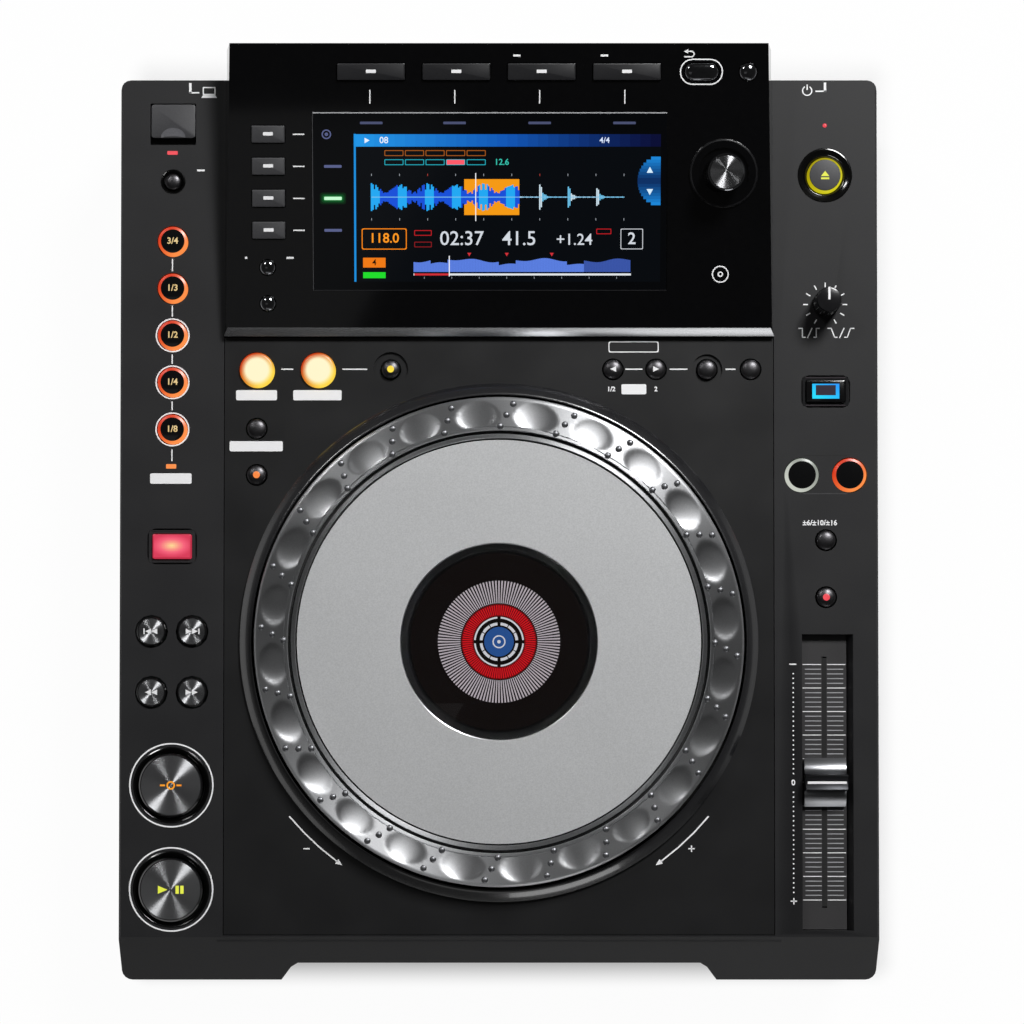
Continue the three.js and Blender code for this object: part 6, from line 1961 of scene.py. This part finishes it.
@dataclass
class DeckPrint:
    """Printed marks, lamps and scales of the deck, with the painted shade and highlight lines of the sync recess."""

    beat_rings: ClassVar[tuple] = (35.11, 54.09, 73.07)
    dots_x: float = 118.15
    dot_pitch: float = 1.91

    def build(self) -> None:
        """Builds all marks."""
        self.build_left()
        self.build_panel()
        self.build_right()
        self.build_dots()
        self.build_lamps()

    def build_left(self) -> None:
        """Prints the marks of the left strip."""
        ink, deck = Shape(), PLAN.on_deck
        ink.line([(-124.6, 175.0), (-124.6, 171.3)], 1.0, deck())
        ink.line([(-124.9, 171.3), (-121.1, 171.3)], 0.6, deck())
        ink.frame(rounded(5.2, 3.3, 0.3, 2), 0.5, deck(-117.0, 172.0))
        ink.polygon([(-120.2, 169.2), (-113.8, 169.2), (-114.5, 170.3), (-119.5, 170.3)], deck())
        ink.bar(3.1, 0.75, deck(-120.2, 139.8))
        for low, high in ((99.0, 104.0), (80.6, 85.1), (61.6, 65.3), (42.8, 46.4), (22.3, 27.0)):
            ink.bar(0.5, high - low, deck(-131.6, (low + high) / 2))
        for y in self.beat_rings:
            ink.ring(6.85, 6.3, deck(-PLAN.column, y), sides=80)
        ink.bar(16.7, 4.2, deck(-132.0, 15.3), corner=0.6)
        for y in (PLAN.cue_y, PLAN.play_y):
            ink.ring(16.95, 16.35, deck(-PLAN.column, y), 0.12, sides=128)
        fit(ink.build("left_strip_print", [WHITE_INK]), "base", "case_plastic")

    def build_panel(self) -> None:
        """Prints the marks of the centre panel and round the jog wheel."""
        ink, deck = Shape(), PLAN.on_deck
        for x, y, w in ((-97.6, 48.9, 16.5), (-73.1, 48.9, 19.5), (-97.7, 28.3, 21.4), (54.3, 51.3, 10.0)):
            ink.bar(w, 4.1, deck(x, y), corner=0.6)
        ink.frame(rounded(20.2, 4.5, 0.7, 3), 0.4, deck(54.2, 68.4))
        for a, b in ((-87.7, -82.8), (-63.1, -53.0), (50.9, 57.8), (68.7, 75.9), (91.2, 95.3)):
            ink.bar(b - a, 0.5, deck((a + b) / 2, 59.4))
        ink.digits("1/2", 2.6, deck(45.2, 51.3), weight=0.03)
        ink.digits("2", 2.6, deck(63.2, 51.3), weight=0.03)
        for turn, start, end in ((-1, 219.7, 233.6), (1, 320.3, 306.4)):
            ink.arc(109.6, 109.0, min(start, end), max(start, end), PLAN.jog())
            a = math.radians(end)
            tip = shifted(PLAN.jog(), 109.3 * math.cos(a), 109.3 * math.sin(a))
            ink.polygon([(-0.2, -1.1), (2.6, 0), (-0.2, 1.1)], tip @ Matrix.Rotation(a - turn * TURN / 4, 4, "Z"))
        for w, l, x in ((2.6, 0.5, -77.2), (2.6, 0.5, 77.2), (0.5, 2.6, 77.2)):
            ink.bar(w, l, deck(x, -133.4))
        fit(ink.build("centre_panel_print", [WHITE_INK]), "base", "panel_plastic")

    def build_right(self) -> None:
        """Prints the marks of the right strip and lays the painted shade and highlight lines of the recess between sync
        and master.
        """
        ink, deck = Shape(), PLAN.on_deck
        add_power_mark(ink, deck(124.4, 172.1))
        ink.line([(127.9, 171.9), (131.9, 171.9)], 0.6, deck())
        ink.line([(131.6, 171.9), (131.6, 175.2)], 1.0, deck())
        for left, points in ((120.7, ((0, 3.8), (1.5, 3.8), (1.5, 0.2), (2.7, 0.2))),
                             (120.7, ((3.6, 0), (5.4, 3.9))),
                             (120.7, ((6.1, 0.2), (7.1, 0.2), (7.1, 3.8), (8.4, 3.8))),
                             (132.4, ((0, 3.8), (1.4, 3.8), (2.8, 0.2), (3.8, 0.2))),
                             (132.4, ((4.8, 0), (6.6, 3.9))),
                             (132.4, ((6.8, 0.2), (7.9, 0.2), (9.2, 3.8), (10.6, 3.8)))):
            ink.line(points, 0.45, deck(left, 72.1))
        ink.digits("±6/±10/±16", 2.9, deck(129.0, -2.6), weight=0.03)
        ink.line([(-1.3, 0), (1.3, 0)], 0.5, deck(118.0, -59.4))
        ink.digits("0", 3.2, deck(118.1, -107.0), weight=0.03)
        for w, l in ((2.6, 0.5), (0.5, 2.6)):
            ink.bar(w, l, deck(118.2, -154.4))
        fit(ink.build("right_strip_print", [WHITE_INK]), "base", "case_plastic")
        # Dark line at the rear edge and grey line at the front edge of the recess between sync and master: painted
        # shade and painted highlight.
        panel = Shape()
        panel.bar(17.6, 0.35, deck(PLAN.column - 0.2, 24.6), 0.03, slot=1)
        panel.bar(17.6, 0.35, deck(PLAN.column - 0.2, 9.2), 0.03)
        fit(panel.build("sync_inset_shade_and_highlight", [KEY_GREY_AND_EDGE_HIGHLIGHT, SHADOW_BLACK]), "base", "case_plastic")
        tick = Shape()
        tick.bar(1.9, 0.5, Matrix())
        fit(repeated(tick, "speed_ticks", WHITE_INK, 11, 7.9, -60, 30, (PLAN.column, 85.53, PLAN.deck)), "base",
            "case_plastic")

    def build_dots(self) -> None:
        """Prints the dotted scale beside the slider."""
        for name, first in (("rear", -103.3), ("front", -150.9)):
            dot = Shape()
            dot.lathe([(0, -0.02), (0.32, -0.02), (0.32, 0.04), (0, 0.04)], Matrix(), sides=10)
            row = repeated(dot, f"tempo_dots_{name}", WHITE_INK, 22, centre=(self.dots_x, first, PLAN.deck),
                           pitch=(0, self.dot_pitch, 0))
            fit(row, "base", "case_plastic")

    def build_lamps(self) -> None:
        """Builds the small signal lamps."""
        lamps, deck = Shape(), PLAN.on_deck
        lamps.bar(4.2, 1.5, deck(-131.7, 146.9), 0.15, 0.3)
        lamps.bar(4.1, 1.8, deck(-131.9, 20.2), 0.15, 0.3, 1)
        lamps.lathe([(0, -0.3), (0.85, -0.3), (0.85, 0.1), (0.5, 0.3), (0, 0.4)], deck(PLAN.column, 158.0), sides=24)
        fit(lamps.build("signal_lamps", [LIT_RED, LIT_AMBER]), "base", "lit_red")


# Stage.


@dataclass
class Studio:
    """Floor, room, lamps and camera of the photograph's view, in metres."""

    camera: ClassVar[tuple] = (0, -0.08295, 1.374)
    tilt: float = 1.62
    lens: float = 113.8
    shift: ClassVar[tuple] = (0.0127, 0.1165)
    aim: ClassVar[Vector] = Vector((0, 0, 0.07))
    floor_half: float = 6.0
    floor_low: float = -0.0003
    lamps: ClassVar[tuple] = (
        ("rear_right_lamp", (0.74, 1.25, 1.80), (0.55, 0.55), 45.0),
        ("rear_left_lamp", (-1.00, 1.12, 1.80), (0.4, 0.2), 6.5),
        ("front_fill_lamp", (-0.2, -2.2, 1.6), (1.6, 0.9), 1.4))
    cards: ClassVar[tuple] = (
        ("overhead_card", ((-0.042, -0.06, 2.6), (-1.0, -0.06, 2.6), (-1.0, -0.607, 2.6), (-0.318, -0.607, 2.6)),
         0.16, 0.0),
        ("left_card", ((-1.6, -2.6, 0.02), (-1.6, 1.6, 0.02), (-1.6, 1.6, 0.45), (-1.6, -2.6, 0.45)), 0.55, 0.3),
        ("right_card", ((1.6, -1.3, 0.02), (1.6, 1.3, 0.02), (1.6, 1.3, 0.45), (1.6, -1.3, 0.45)), 0.3, 0.3),
        ("front_card", ((0.06, -1.5, 0.32), (0.8, -1.5, 0.32), (0.8, -1.5, 0.7), (0.06, -1.5, 0.7)), 2.1, 0.0))

    def build(self) -> None:
        """Builds the stage and makes the camera the scene's own."""
        self.build_floor()
        self.build_room()
        for lamp in self.lamps:
            self.build_lamp(*lamp)
        for card in self.cards:
            self.build_card(*card)
        self.build_camera()
        bpy.context.scene.view_settings.view_transform = "Standard"

    @staticmethod
    def add_object(name: str, data: bpy.types.ID) -> Object:
        """Links a new object with its data."""
        thing = bpy.data.objects.new(name, data)
        bpy.context.scene.collection.objects.link(thing)
        return thing

    def add_sheet(self, name: str, points: Sequence[Point], material: Material) -> Object:
        """Adds a flat sheet of the stage.

        Args:
            name: Its name.
            points: Its four corners.
            material: Its material.

        Returns:
            The sheet.
        """
        mesh = bpy.data.meshes.new(name)
        mesh.from_pydata(points, [], [(0, 1, 2, 3)])
        mesh.materials.append(material)
        sheet = self.add_object(name, mesh)
        return sheet

    def build_floor(self) -> None:
        """Lays white paper that keeps the object's shadow near its sides, adds a painted shadow round the body's
        outline, and is clear from below.
        """
        material = bpy.data.materials.new("white_floor_with_painted_shadow")
        tree = empty_tree(material)
        ray = add_node(tree, "ShaderNodeLightPath").outputs
        seen = ray["Is Camera Ray"]
        for kind in ("Is Glossy Ray", "Is Transmission Ray"):
            seen = add_node(tree, "ShaderNodeMath", {"operation": "MAXIMUM"}, {0: seen, 1: ray[kind]})
        # The floor's white glow gives way to lit paper near a box round the body, shifted 5 mm right and 4 mm
        # rearwards: a painted shadow on top of the real one.
        away = add_node(tree, "ShaderNodeTexCoord").outputs["Object"]
        for operation, value in (("SUBTRACT", (0.005, 0.004, 0)), ("ABSOLUTE", None),
                                 ("SUBTRACT", (0.1525, 0.187, 0)), ("MAXIMUM", (0, 0, 0))):
            settings = {"operation": operation} if value is None else {"operation": operation, 1: value}
            away = add_node(tree, "ShaderNodeVectorMath", settings, {0: away})
        away = add_node(tree, "ShaderNodeVectorMath", {"operation": "LENGTH"}, {0: away}).outputs["Value"]
        fade = add_node(tree, "ShaderNodeMapRange", {
            "interpolation_type": "SMOOTHSTEP", "From Min": -0.003, "From Max": 0.013, "To Min": 0.3,
            "To Max": 0.97}, {"Value": away})
        share = add_node(tree, "ShaderNodeMath", {"operation": "MULTIPLY"}, {0: seen, 1: fade})
        paper = add_node(tree, "ShaderNodeBsdfDiffuse", {"Color": linear("#f6f6f6")})
        white = add_node(tree, "ShaderNodeEmission", {"Color": linear("#ffffff"), "Strength": 1.0})
        mix = add_node(tree, "ShaderNodeMixShader", links={0: share, 1: paper,
                                                          2: white})
        under = add_node(tree, "ShaderNodeNewGeometry").outputs["Backfacing"]
        clear = add_node(tree, "ShaderNodeBsdfTransparent")
        sided = add_node(tree, "ShaderNodeMixShader", links={0: under, 1: mix, 2: clear})
        add_node(tree, "ShaderNodeOutputMaterial", links={"Surface": sided})
        half, low = self.floor_half, self.floor_low
        self.add_sheet("floor", [(-half, -half, low), (half, -half, low), (half, half, low), (-half, half, low)],
                       material)

    def build_room(self) -> None:
        """Gives the room pale walls and a dark ceiling, white to the camera."""
        world = bpy.data.worlds.new("room")
        tree = empty_tree(world)
        seen = add_node(tree, "ShaderNodeLightPath").outputs["Is Camera Ray"]
        place = add_node(tree, "ShaderNodeTexCoord").outputs["Generated"]
        height = add_node(tree, "ShaderNodeSeparateXYZ", links={0: place}).outputs["Z"]
        walls = add_node(tree, "ShaderNodeMapRange", {
            "interpolation_type": "SMOOTHSTEP", "From Min": 0.3, "From Max": 0.75, "To Min": 0.06, "To Max": 0.03},
            {"Value": height})
        room = add_node(tree, "ShaderNodeBackground", {"Color": linear("#ffffff")},
                        {"Strength": walls})
        white = add_node(tree, "ShaderNodeBackground", {"Color": linear("#ffffff"), "Strength": 1.0})
        mix = add_node(tree, "ShaderNodeMixShader", links={0: seen, 1: room, 2: white})
        add_node(tree, "ShaderNodeOutputWorld", links={"Surface": mix})
        bpy.context.scene.world = world

    def build_lamp(self, name: str, place: Point, size: Point, power: float) -> None:
        """Hangs a rectangular lamp aimed at the deck.

        Args:
            name: Its name.
            place: Where it hangs.
            size: Width and height.
            power: Watts.
        """
        data = bpy.data.lights.new(name, "AREA")
        data.shape, data.size, data.size_y, data.energy = "RECTANGLE", *size, power
        lamp = self.add_object(name, data)
        lamp.location = place
        lamp.rotation_euler = (self.aim - Vector(place)).to_track_quat("-Z", "Y").to_euler()

    def build_card(self, name: str, points: Sequence[Point], strength: float, soft: float) -> None:
        """Sets up a card that only shows as a sheen on gloss and metal.

        Args:
            name: Its name.
            points: Its four corners.
            strength: Its brightness, where 1 is white.
            soft: Share of its length at both ends over which it fades out.
        """
        material = bpy.data.materials.new(name + "_light")
        tree = empty_tree(material)
        place = add_node(tree, "ShaderNodeTexCoord").outputs["Generated"]
        along = add_node(tree, "ShaderNodeSeparateXYZ", links={0: place}).outputs["Y"]
        off = add_node(tree, "ShaderNodeMath", {"operation": "SUBTRACT", 1: 0.5}, {0: along})
        off = add_node(tree, "ShaderNodeMath", {"operation": "ABSOLUTE"}, {0: off})
        fade = add_node(tree, "ShaderNodeMapRange", {
            "interpolation_type": "SMOOTHSTEP", "From Min": 0.5 - soft, "From Max": 0.501, "To Min": strength,
            "To Max": 0.0 if soft else strength}, {"Value": off})
        glow = add_node(tree, "ShaderNodeEmission", {"Color": linear("#ffffff")}, {"Strength": fade})
        add_node(tree, "ShaderNodeOutputMaterial", links={"Surface": glow})
        card = self.add_sheet(name, points, material)
        card.visible_camera = card.visible_diffuse = card.visible_shadow = card.visible_transmission = False

    def build_camera(self) -> None:
        """Sets the camera over the front half of the deck, shifted to the photograph's frame."""
        data = bpy.data.cameras.new("photo_camera")
        data.lens, data.sensor_width = self.lens, 36
        data.shift_x, data.shift_y = self.shift
        camera = self.add_object("photo_camera", data)
        camera.location = self.camera
        camera.rotation_euler = (math.radians(self.tilt), 0, 0)
        bpy.context.scene.camera = camera


def main() -> None:
    """Builds the player's looks in order."""
    logging.basicConfig(level=logging.INFO, format="%(name)s: %(message)s")
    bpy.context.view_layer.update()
    Case().build()
    CentrePanel().build()
    ScreenHousing().build()
    JogWheel().build()
    for button in ROUND_BUTTONS:
        button.build()
    Keys().build()
    UsbPort().build()
    Knobs().build()
    TempoSlider().build()
    Rear().build()
    DeckPrint().build()
    Studio().build()


if __name__ == "__main__":
    main()
